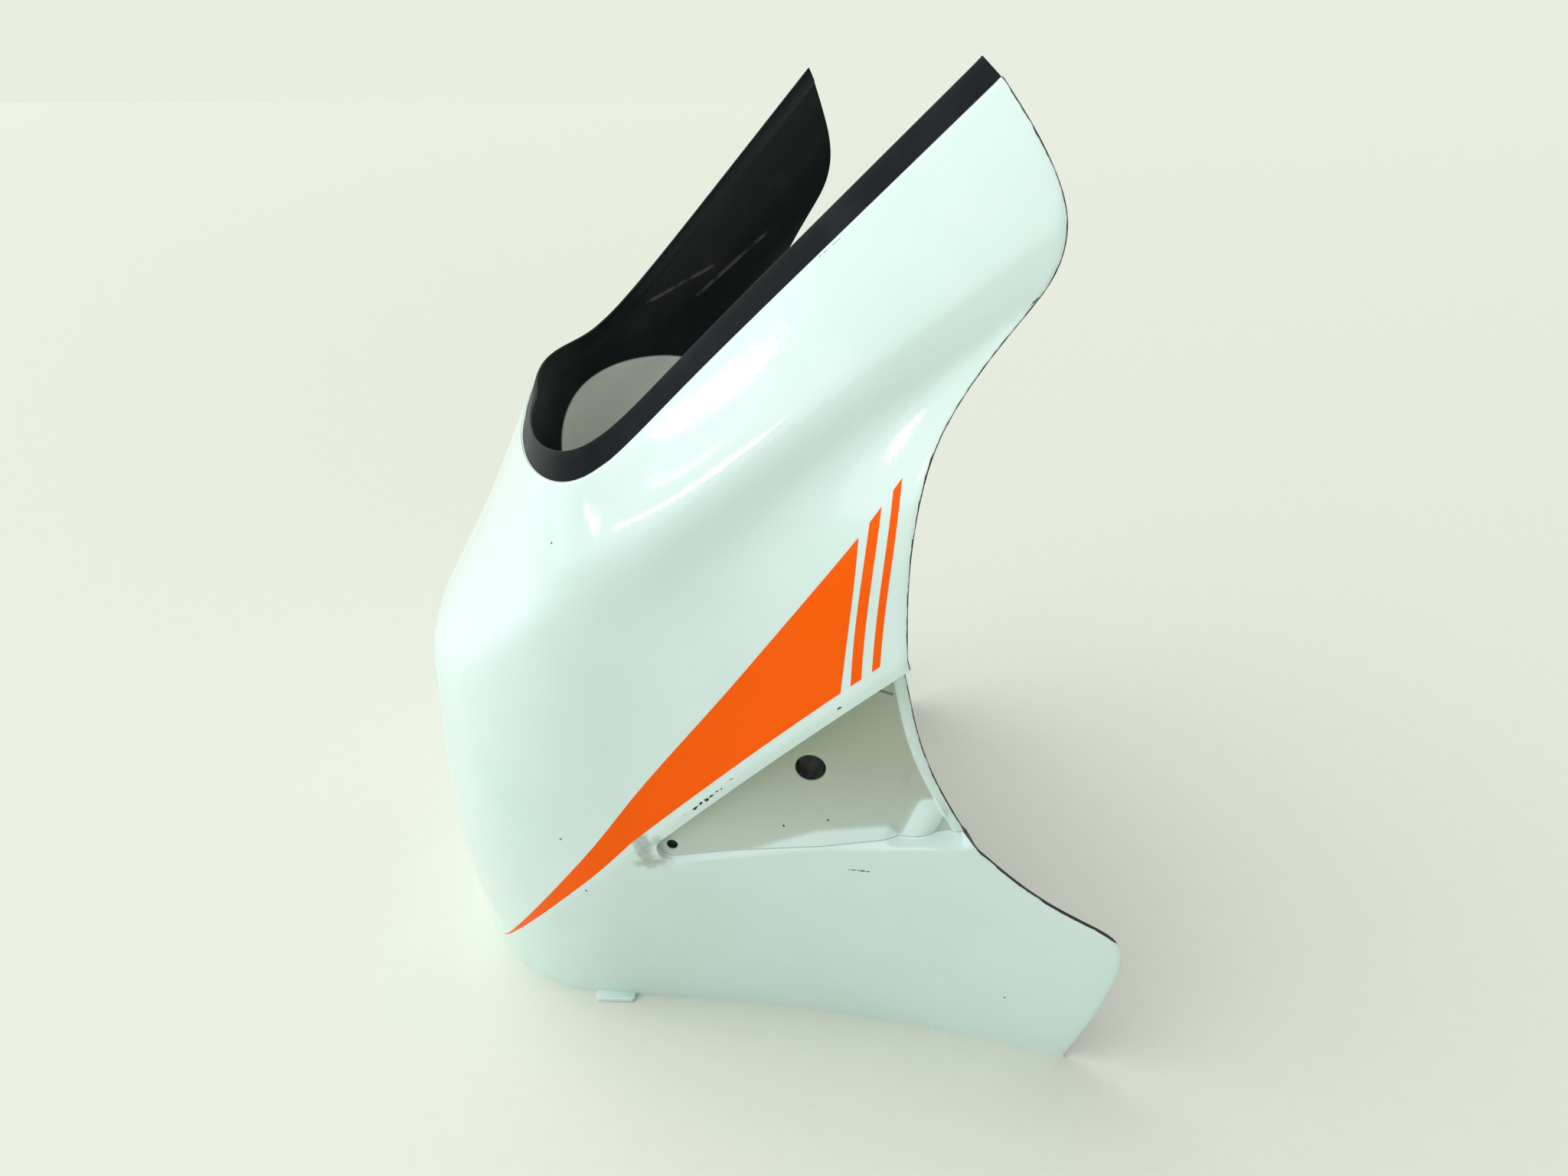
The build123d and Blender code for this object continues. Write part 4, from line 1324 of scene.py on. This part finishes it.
def moulded_rib(builder, tree, ends):
    """Low half-round rib on the inside of the left wall, between two places of the side view."""
    middle = evenly(np.array(ends), RIB_STEP)
    way = unit(middle[-1] - middle[0])
    across = np.array((-way[1], way[0]))
    run = spacing(middle)
    taper = np.sqrt(np.clip(np.minimum(run, run[::-1]) / RIB_TAPER, 0, 1))
    lines = []
    for turn in np.linspace(0, math.pi, RIB_COUNT):
        points, normals = carried(tree, middle + across * RIB_WIDTH / 2 * math.cos(turn), 1)
        height = RIB_HEIGHT * math.sin(turn) * taper - RIB_SINK
        lines.append(points + normals * height[:, None])
    for one, two in zip(lines, lines[1:]):
        # The ribs take the lighter plastic, a painted sheen for the light along their tops.
        builder.strip(one, two, RUB_AND_SHEEN)


def shell_mesh():
    """The whole moulding as points, faces and material places, in millimetres on the fan axis."""
    left = Builder()
    whole = Builder()
    nose, side, block, rear, bottom = wall_surface(left, outer_rows, True)
    back, back_side, back_block, back_rear, back_bottom = wall_surface(left, inner_rows, False)
    zipped(left, rear, back_rear, BARE)
    zipped(left, bottom, back_bottom, BARE)
    hole_walls(left)
    tongue(left)
    posts(left, search_tree(nose))
    for rib in RIBS:
        moulded_rib(left, search_tree(back_side), rib)
    whole.mirrored(left)
    points, faces, edge = nose_patch(nose, block, LIGHT_EDGE)
    whole.triangles(points, faces, PAINT)
    points, faces, back_edge = nose_patch(back, back_block, WALL)
    whole.triangles(points, faces, BARE)
    light_lip(whole, edge, back_edge)
    return whole, search_tree(nose, side)


def stripe_foot(y):
    """Height of the stripes' lower ends, just above the belt."""
    return belt_z(y) + STRIPE_MARGIN * math.hypot(1, BELT_RISE)


def stripe_head(y):
    """Place on the slanted edge that starts at y on the foot line, at the stripes' heads."""
    foot = stripe_foot(y)
    wedge_top_y = WEDGE_RIGHT_Y + STRIPE_SLANT * (STRIPE_TOP_Z - stripe_foot(WEDGE_RIGHT_Y))
    climb = STRIPE_TOP_Z - foot + STRIPE_TOP_RISE * (y - wedge_top_y)
    rise = climb / (1 - STRIPE_SLANT * STRIPE_TOP_RISE)
    return np.array((y + STRIPE_SLANT * rise, foot + rise))


def stripe_edge(y):
    """Long edge of a stripe that starts at y on the foot line, bowed forwards a little."""
    share = np.linspace(0, 1, STRIPE_COUNT)[:, None]
    edge = blend(np.array((y, stripe_foot(y))), stripe_head(y), share)
    return edge - 4 * STRIPE_BOW * share * (1 - share) * (1, 0)


def stripe_outline(left, right):
    return np.concatenate((stripe_edge(left), stripe_edge(right)[::-1]))


def wedge_outline():
    """Long wedge that grows along the belt from the chin, as a closed line of the side view."""
    head = stripe_head(WEDGE_RIGHT_Y)
    foot_right = np.array((WEDGE_RIGHT_Y, stripe_foot(WEDGE_RIGHT_Y)))
    axis_foot = np.array((0.0, stripe_foot(0)))
    chin = []
    for angle in WEDGE_CHIN_ANGLES:
        out, height = main_points(angle, 0.0)[0][2]
        chin.append(np.array((-out * math.cos(math.radians(angle)), height + STRIPE_MARGIN)))
    tip = chin[0]

    def raised(foot):
        run = (foot[0] - tip[0]) / (head[0] - tip[0])
        growth = WEDGE_EVENNESS * run + (1 - WEDGE_EVENNESS) * run ** WEDGE_POWER
        return foot + np.array((0, growth * (head[1] - stripe_foot(head[0]))))

    back = [raised(foot) for foot in chin[1:] + [axis_foot, blend(axis_foot, foot_right, 0.5)]]
    foot_line = evenly(np.array((axis_foot, foot_right)), FILM_POINT_GAP)
    rear_line = evenly(np.array((foot_right, head)), FILM_POINT_GAP)
    parts = [evenly(side_outline([*chin, axis_foot]), FILM_POINT_GAP), foot_line, rear_line,
             evenly(side_outline([head, *back[::-1], tip]), FILM_POINT_GAP)]
    return np.concatenate([part[:-1] for part in parts])


def film(tree, outline, sign):
    """Thin film laid on the skin over an outline of the side view, on the left or the right."""
    builder = Builder()
    free = spread(outline, FILM_POINT_GAP, lambda places: np.full(len(places), True))
    points, faces = fill(outline, free=free)
    on_skin, normals = carried(tree, points, -1)
    builder.triangles((on_skin + normals * FILM_LIFT) * (sign, 1, 1), faces, 0)
    edge, normals = carried(tree, outline, -1)
    rim = [(edge + normals * height) * (sign, 1, 1) for height in (FILM_LIFT, -FILM_SINK)]
    builder.strip(*rim, 0, closed=True)
    return builder


def linked(name, data, place=(0, 0, 0)):
    """Object with its data, put in the scene at a place."""
    piece = bpy.data.objects.new(name, data)
    piece.location = place
    bpy.context.collection.objects.link(piece)
    return piece


def finished(name, builder, materials):
    """Welded, smooth object from a builder, moved into the frame."""
    points = (np.concatenate(builder.points) + (0, SHIFT, 0)) * MM
    mesh = bpy.data.meshes.new(name)
    mesh.from_pydata(points.tolist(), [], builder.faces)
    mesh.polygons.foreach_set("material_index", builder.slots)
    for material in materials:
        mesh.materials.append(material)
    work = bmesh.new()
    work.from_mesh(mesh)
    bmesh.ops.remove_doubles(work, verts=work.verts, dist=WELD_GAP * MM)
    bmesh.ops.dissolve_degenerate(work, edges=work.edges, dist=TINY_EDGE * MM)
    loose = [point for point in work.verts if not point.link_faces]
    bmesh.ops.delete(work, geom=loose, context="VERTS")
    bmesh.ops.recalc_face_normals(work, faces=work.faces)
    work.to_mesh(mesh)
    work.free()
    mesh.shade_smooth()
    mesh.set_sharp_from_angle(angle=SHARP_ANGLE)
    return linked(name, mesh)


def note(piece, name, values):
    """Keeps one number for each point of a mesh, for its materials."""
    piece.data.attributes.new(name, "FLOAT", "POINT").data.foreach_set("value", values)


def wear_and_shade_notes(piece):
    """Notes each point's distance from the rear edge, depth in the recess and height over its floor."""
    points = np.zeros(len(piece.data.vertices) * 3)
    piece.data.vertices.foreach_get("co", points)
    side = (points.reshape(-1, 3) / MM - (0, SHIFT, 0))[:, 1:]
    bare_edge = REAR[REAR[:, 1] > lower_edge(*WING_CORNER)[1]]
    note(piece, "edge", np.minimum(line_distance(side, bare_edge), NOTE_LIMIT))
    depth = np.clip(recess_inside(side), -NOTE_LIMIT, NOTE_LIMIT)
    note(piece, "recess", np.where(side[:, 0] > 0, depth, -NOTE_LIMIT))
    note(piece, "relief", floor_relief(side))


class Look:
    """A material with a principled shader, and short ways to add nodes to it."""

    def __init__(self, name, color, roughness):
        self.material = bpy.data.materials.new(name)
        self.material.use_nodes = True
        self.tree = self.material.node_tree
        self.shader = self.tree.nodes["Principled BSDF"]
        self.dress("Base Color", (*color, 1))
        self.dress("Roughness", roughness)

    def give(self, node, place, value):
        """Sets an input to a plain value or joins it to another node's output."""
        if isinstance(value, bpy.types.NodeSocket):
            self.tree.links.new(value, node.inputs[place])
        else:
            node.inputs[place].default_value = value

    def dress(self, place, value):
        self.give(self.shader, place, value)

    def node(self, kind, inputs, **settings):
        node = self.tree.nodes.new(kind)
        for name, value in settings.items():
            setattr(node, name, value)
        for place, value in inputs.items():
            self.give(node, place, value)
        return node

    def math(self, operation, a, b=0.0, clamp=False):
        return self.node("ShaderNodeMath", {0: a, 1: b}, operation=operation, use_clamp=clamp).outputs[0]

    def times(self, a, b):
        return self.math("MULTIPLY", a, b)

    def vector(self, operation, a, b=(0, 0, 0)):
        return self.node("ShaderNodeVectorMath", {0: a, 1: b}, operation=operation)

    def place(self):
        """The point on the object in millimetres on the axis."""
        own = self.node("ShaderNodeTexCoord", {}).outputs["Object"]
        scaled = self.vector("MULTIPLY", own, (1 / MM, 1 / MM, 1 / MM)).outputs["Vector"]
        return self.vector("SUBTRACT", scaled, (0, SHIFT, 0)).outputs["Vector"]

    def parts(self, place):
        return self.node("ShaderNodeSeparateXYZ", {"Vector": place}).outputs

    def noise(self, place, size, detail=2.0):
        """Noise from 0 to 1 with blotches of about a size in millimetres."""
        inputs = {"Vector": place, "Scale": 1 / size, "Detail": detail}
        return self.node("ShaderNodeTexNoise", inputs).outputs["Fac"]

    def step(self, value, start, end):
        """Smooth step of a value from 0 at start to 1 at end."""
        inputs = {"Value": value, "From Min": start, "From Max": end}
        return self.node("ShaderNodeMapRange", inputs, interpolation_type="SMOOTHSTEP").outputs["Result"]

    def between(self, share, low, high):
        inputs = {"Value": share, "To Min": low, "To Max": high}
        return self.node("ShaderNodeMapRange", inputs).outputs["Result"]

    def mixed(self, share, one, two):
        """Mixes two colours by a share."""
        node = self.node("ShaderNodeMix", {"Factor": share}, data_type="RGBA")
        for place, color in (("A", one), ("B", two)):
            self.give(node, place, color if isinstance(color, bpy.types.NodeSocket) else (*color, 1))
        return node.outputs["Result"]

    def noted(self, name):
        return self.node("ShaderNodeAttribute", {}, attribute_name=name).outputs["Fac"]

    def away(self, place, start, end):
        """Distance of the place from the line between two points."""
        run = np.subtract(end, start)
        ahead = self.vector("SUBTRACT", place, start).outputs["Vector"]
        along = self.vector("DOT_PRODUCT", ahead, tuple(run)).outputs["Value"]
        share = self.math("DIVIDE", along, float(run @ run), clamp=True)
        near = self.node("ShaderNodeVectorMath", {0: tuple(run), "Scale": share}, operation="SCALE")
        return self.vector("DISTANCE", ahead, near.outputs["Vector"]).outputs["Value"]

    def mark(self, place, rough, marks, soft):
        """Share of cover by marks between two points each, with edges made ragged by a noise."""
        cover = 0.0
        centred = self.math("SUBTRACT", rough, 0.5)
        for start, end, width, ragged in marks:
            far = self.away(place, start, end)
            shaken = self.math("ADD", far, self.times(centred, 2 * ragged))
            cover = self.math("MAXIMUM", cover, self.step(shaken, width + soft, width - soft))
        return cover

    def bump(self, height, depth):
        """Lets a height from 0 to 1 stand for a depth in millimetres."""
        node = self.node("ShaderNodeBump", {"Height": height, "Distance": depth * MM})
        self.dress("Normal", node.outputs["Normal"])


def recess_shade_and_thinness(look, place):
    """Share of painted shade and thinner paint on the recess floor: more so higher up under the overhang,
    less on its raised lip, ramp and hump.
    """
    depth = look.step(look.noted("recess"), *RECESS_SHADE_DEPTHS)
    floor = look.times(depth, look.step(look.noted("relief"), *RECESS_SHADE_RELIEFS))
    height = look.step(look.parts(place)["Z"], *RECESS_SHADE_HEIGHTS)
    return look.times(floor, look.between(height, RECESS_SHADE_LEAST, 1.0))


def dirtied_and_shaded(look, place, fine, color):
    """Colour with painted shade along the foot of the recess wall, grime at its front end near the screw
    hole, and a painted shadow in the recess's top rear corner by the lip.
    """
    recess = look.noted("recess")
    # Painted shade in the corner along the foot of the recess wall.
    corner = look.times(look.step(recess, *FOOT_START), look.step(recess, *FOOT_END))
    grime = look.mark(place, look.noise(place, GRIME_SIZE, detail=4.0), GRIME, GRIME_SOFT)
    for darkening in (corner, grime):
        color = look.mixed(look.times(darkening, look.between(fine, *GRIME_AND_SHADE_COVER)), color, GRIME_AND_SHADE_COLOR)
    # Painted shadow in the recess's top rear corner, by the lip.
    lip_shadow = look.mark(place, fine, (LIP_CORNER_SHADOW,), LIP_CORNER_SHADOW_SOFT)
    return look.mixed(look.times(lip_shadow, LIP_CORNER_SHADOW_COVER), color, GRIME_AND_SHADE_COLOR)


def paint_chips(look, place, fine):
    """Share by which the paint is chipped off: at single marks and in places along the rear edge."""
    specks = [(speck, np.add(speck, SPECK_LENGTH), SPECK_RADIUS, SPECK_RAGGEDNESS) for speck in SPECKS]
    chips = look.mark(place, fine, (*CHIPS, *specks), CHIP_SOFT)
    ragged = look.times(look.noise(place, EDGE_CHIP_SIZE, detail=4.0), EDGE_CHIP_REACH)
    edge = look.math("ADD", look.noted("edge"), ragged)
    return look.math("MAXIMUM", chips, look.step(edge, *EDGE_CHIP_WIDTHS))


def paint_look():
    """Gloss cool white, a little uneven, thinner and darkened by painted shade in the recess, dirty in
    places, with painted shade along the recess wall's foot and a painted shadow in the recess's top rear
    corner, chipped to the black plastic in places.
    """
    look = Look("white_paint", WHITE, PAINT_ROUGHNESS)
    place = look.place()
    cloud = look.noise(place, PAINT_CLOUD_SIZE)
    fine = look.noise(place, PAINT_FINE_SIZE, detail=3.0)
    shaded_thin = recess_shade_and_thinness(look, place)
    chips = paint_chips(look, place, fine)
    color = look.mixed(look.step(cloud, *PAINT_CLOUD_STEP), WHITE, WHITE_SHADE)
    # Painted shade on the recess floor, on top of its thinner paint.
    color = look.mixed(shaded_thin, color, RECESS_SHADED_WHITE)
    color = dirtied_and_shaded(look, place, fine, color)
    look.dress("Base Color", look.mixed(chips, color, PLASTIC))
    dull = look.math("MAXIMUM", look.times(shaded_thin, THIN_DULLNESS), chips)
    even = look.between(cloud, *PAINT_ROUGHNESSES)
    look.dress("Roughness", look.math("ADD", even, look.times(dull, CHIP_ROUGHNESS)))
    peel = look.times(look.noise(place, PEEL_SIZE, detail=1.0), PEEL_SHARE)
    look.bump(look.math("SUBTRACT", peel, chips), CHIP_DEPTH)
    return look.material


def light_patch(look, place):
    """Share of the light patch on the inside of the right wall."""
    parts = look.parts(place)
    shares = []
    for axis, middle, half in zip("YZ", PATCH_MIDDLE, PATCH_HALF_SIZES):
        off = look.math("DIVIDE", look.math("SUBTRACT", parts[axis], middle), half)
        shares.append(look.math("POWER", look.math("ABSOLUTE", off), PATCH_SQUARENESS))
    ring = look.step(look.math("ADD", *shares), *PATCH_BORDER)
    return look.times(ring, look.step(parts["X"], *PATCH_X))


def plastic_look():
    """Bare satin black plastic with a fine grain, dusty in places, and a light patch."""
    look = Look("bare_plastic", PLASTIC, PLASTIC_ROUGHNESS)
    look.dress("Specular IOR Level", PLASTIC_GLOSS)
    place = look.place()
    cloud = look.noise(place, DUST_SIZE, detail=3.0)
    color = look.mixed(look.step(cloud, *DUST_STEP), PLASTIC, PLASTIC_DUSTY)
    look.dress("Base Color", look.mixed(light_patch(look, place), color, PATCH_COLOR))
    look.dress("Roughness", look.between(cloud, *PLASTIC_ROUGHNESSES))
    look.bump(look.noise(place, GRAIN_SIZE), GRAIN_DEPTH)
    return look.material


def rub_and_sheen_look():
    """Black plastic of the ribs and bores, lighter than the bare plastic and more so in places: rubbing,
    and on the ribs a painted sheen for the light their tops catch.
    """
    look = Look("rub_and_sheen_plastic", RUB_AND_SHEEN_COLOR, PLASTIC_ROUGHNESS)
    look.dress("Specular IOR Level", RUB_AND_SHEEN_GLOSS)
    place = look.place()
    share = look.step(look.noise(place, RUB_AND_SHEEN_SIZE, detail=3.0), *RUB_AND_SHEEN_STEP)
    look.dress("Base Color", look.mixed(share, PLASTIC_DUSTY, RUB_AND_SHEEN_COLOR))
    look.bump(look.noise(place, GRAIN_SIZE), GRAIN_DEPTH)
    return look.material


def film_look():
    """Bright orange vinyl film, slightly uneven in gloss."""
    look = Look("orange_film", ORANGE, FILM_ROUGHNESS)
    look.dress("Specular IOR Level", FILM_GLOSS)
    place = look.place()
    cloud = look.noise(place, FILM_CLOUD_SIZE, detail=3.0)
    look.dress("Base Color", look.mixed(cloud, ORANGE, ORANGE_SHADE))
    look.dress("Roughness", look.between(cloud, *FILM_ROUGHNESSES))
    look.bump(look.noise(place, FILM_WAVE_SIZE), FILM_WAVE_DEPTH)
    return look.material


def floor_look():
    """Pale sheet with a very faint mottle."""
    look = Look("floor", FLOOR, FLOOR_ROUGHNESS)
    look.dress("Specular IOR Level", FLOOR_GLOSS)
    mottle = look.noise(look.place(), MOTTLE_SIZE, detail=3.0)
    look.dress("Base Color", look.mixed(mottle, FLOOR, FLOOR_SHADE))
    return look.material


# Shell
builder, skin = shell_mesh()
shell = finished("shell", builder, [paint_look(), plastic_look(), rub_and_sheen_look()])
wear_and_shade_notes(shell)
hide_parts(SHELL)
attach(shell, "root")

# Stripes
FILMS = {
    "wedge_stripe": wedge_outline(),
    "wide_stripe": stripe_outline(*WIDE_STRIPE_Y),
    "narrow_stripe": stripe_outline(*NARROW_STRIPE_Y),
}
orange = film_look()
for film_name, outline in FILMS.items():
    for side_name, sign in (("left", 1), ("right", -1)):
        node = side_name + "_" + film_name
        piece = finished(node + "_film", film(skin, outline, sign), [orange])
        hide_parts(node)
        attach(piece, "root")


def facing(way):
    return Vector(way).to_track_quat("-Z", "Y").to_euler()


def add_camera():
    data = bpy.data.cameras.new("camera")
    data.lens = CAMERA_LENS
    data.sensor_width = CAMERA_SENSOR
    data.clip_start = CAMERA_NEAR
    camera = linked("camera", data, CAMERA_PLACE)
    camera.rotation_euler = facing(CAMERA_VIEW)
    bpy.context.scene.camera = camera


def add_floor():
    bpy.ops.mesh.primitive_plane_add(size=FLOOR_SIZE, location=(0, 0, 0))
    floor = bpy.context.object
    floor.name = "floor"
    floor.data.materials.append(floor_look())


def add_world():
    """Faint even light, with a pale backdrop where it is seen or mirrored."""
    world = bpy.data.worlds.new("world")
    bpy.context.scene.world = world
    world.use_nodes = True
    nodes, links = world.node_tree.nodes, world.node_tree.links
    ambient = nodes["Background"]
    ambient.inputs["Color"].default_value = (*AMBIENT, 1)
    ambient.inputs["Strength"].default_value = AMBIENT_STRENGTH
    backdrop = nodes.new("ShaderNodeBackground")
    backdrop.inputs["Color"].default_value = (*BACKDROP, 1)
    rays = nodes.new("ShaderNodeLightPath").outputs
    seen = rays["Is Camera Ray"]
    for kind in ("Is Glossy Ray", "Is Transmission Ray"):
        either = nodes.new("ShaderNodeMath")
        either.operation = "MAXIMUM"
        links.new(seen, either.inputs[0])
        links.new(rays[kind], either.inputs[1])
        seen = either.outputs[0]
    choice = nodes.new("ShaderNodeMixShader")
    for place, output in enumerate((seen, ambient.outputs[0], backdrop.outputs[0])):
        links.new(output, choice.inputs[place])
    links.new(choice.outputs[0], nodes["World Output"].inputs["Surface"])


def add_lamp(name, kind, place, target, power, color, **settings):
    data = bpy.data.lights.new(name, kind)
    data.energy = power
    data.color = color
    for setting, value in settings.items():
        setattr(data, setting, value)
    linked(name, data, place).rotation_euler = facing(Vector(target) - Vector(place))


# Stage
bpy.context.scene.view_settings.view_transform = "Standard"
add_camera()
add_floor()
add_world()
for name, way, power, color, angle in SKIES:
    add_lamp(name, "SUN", way, (0, 0, 0), power, color, angle=math.radians(angle))
for name, place, target, power, width, height in WINDOWS:
    add_lamp(name, "AREA", place, target, power, WINDOW_COLOR, shape="RECTANGLE", size=width, size_y=height)
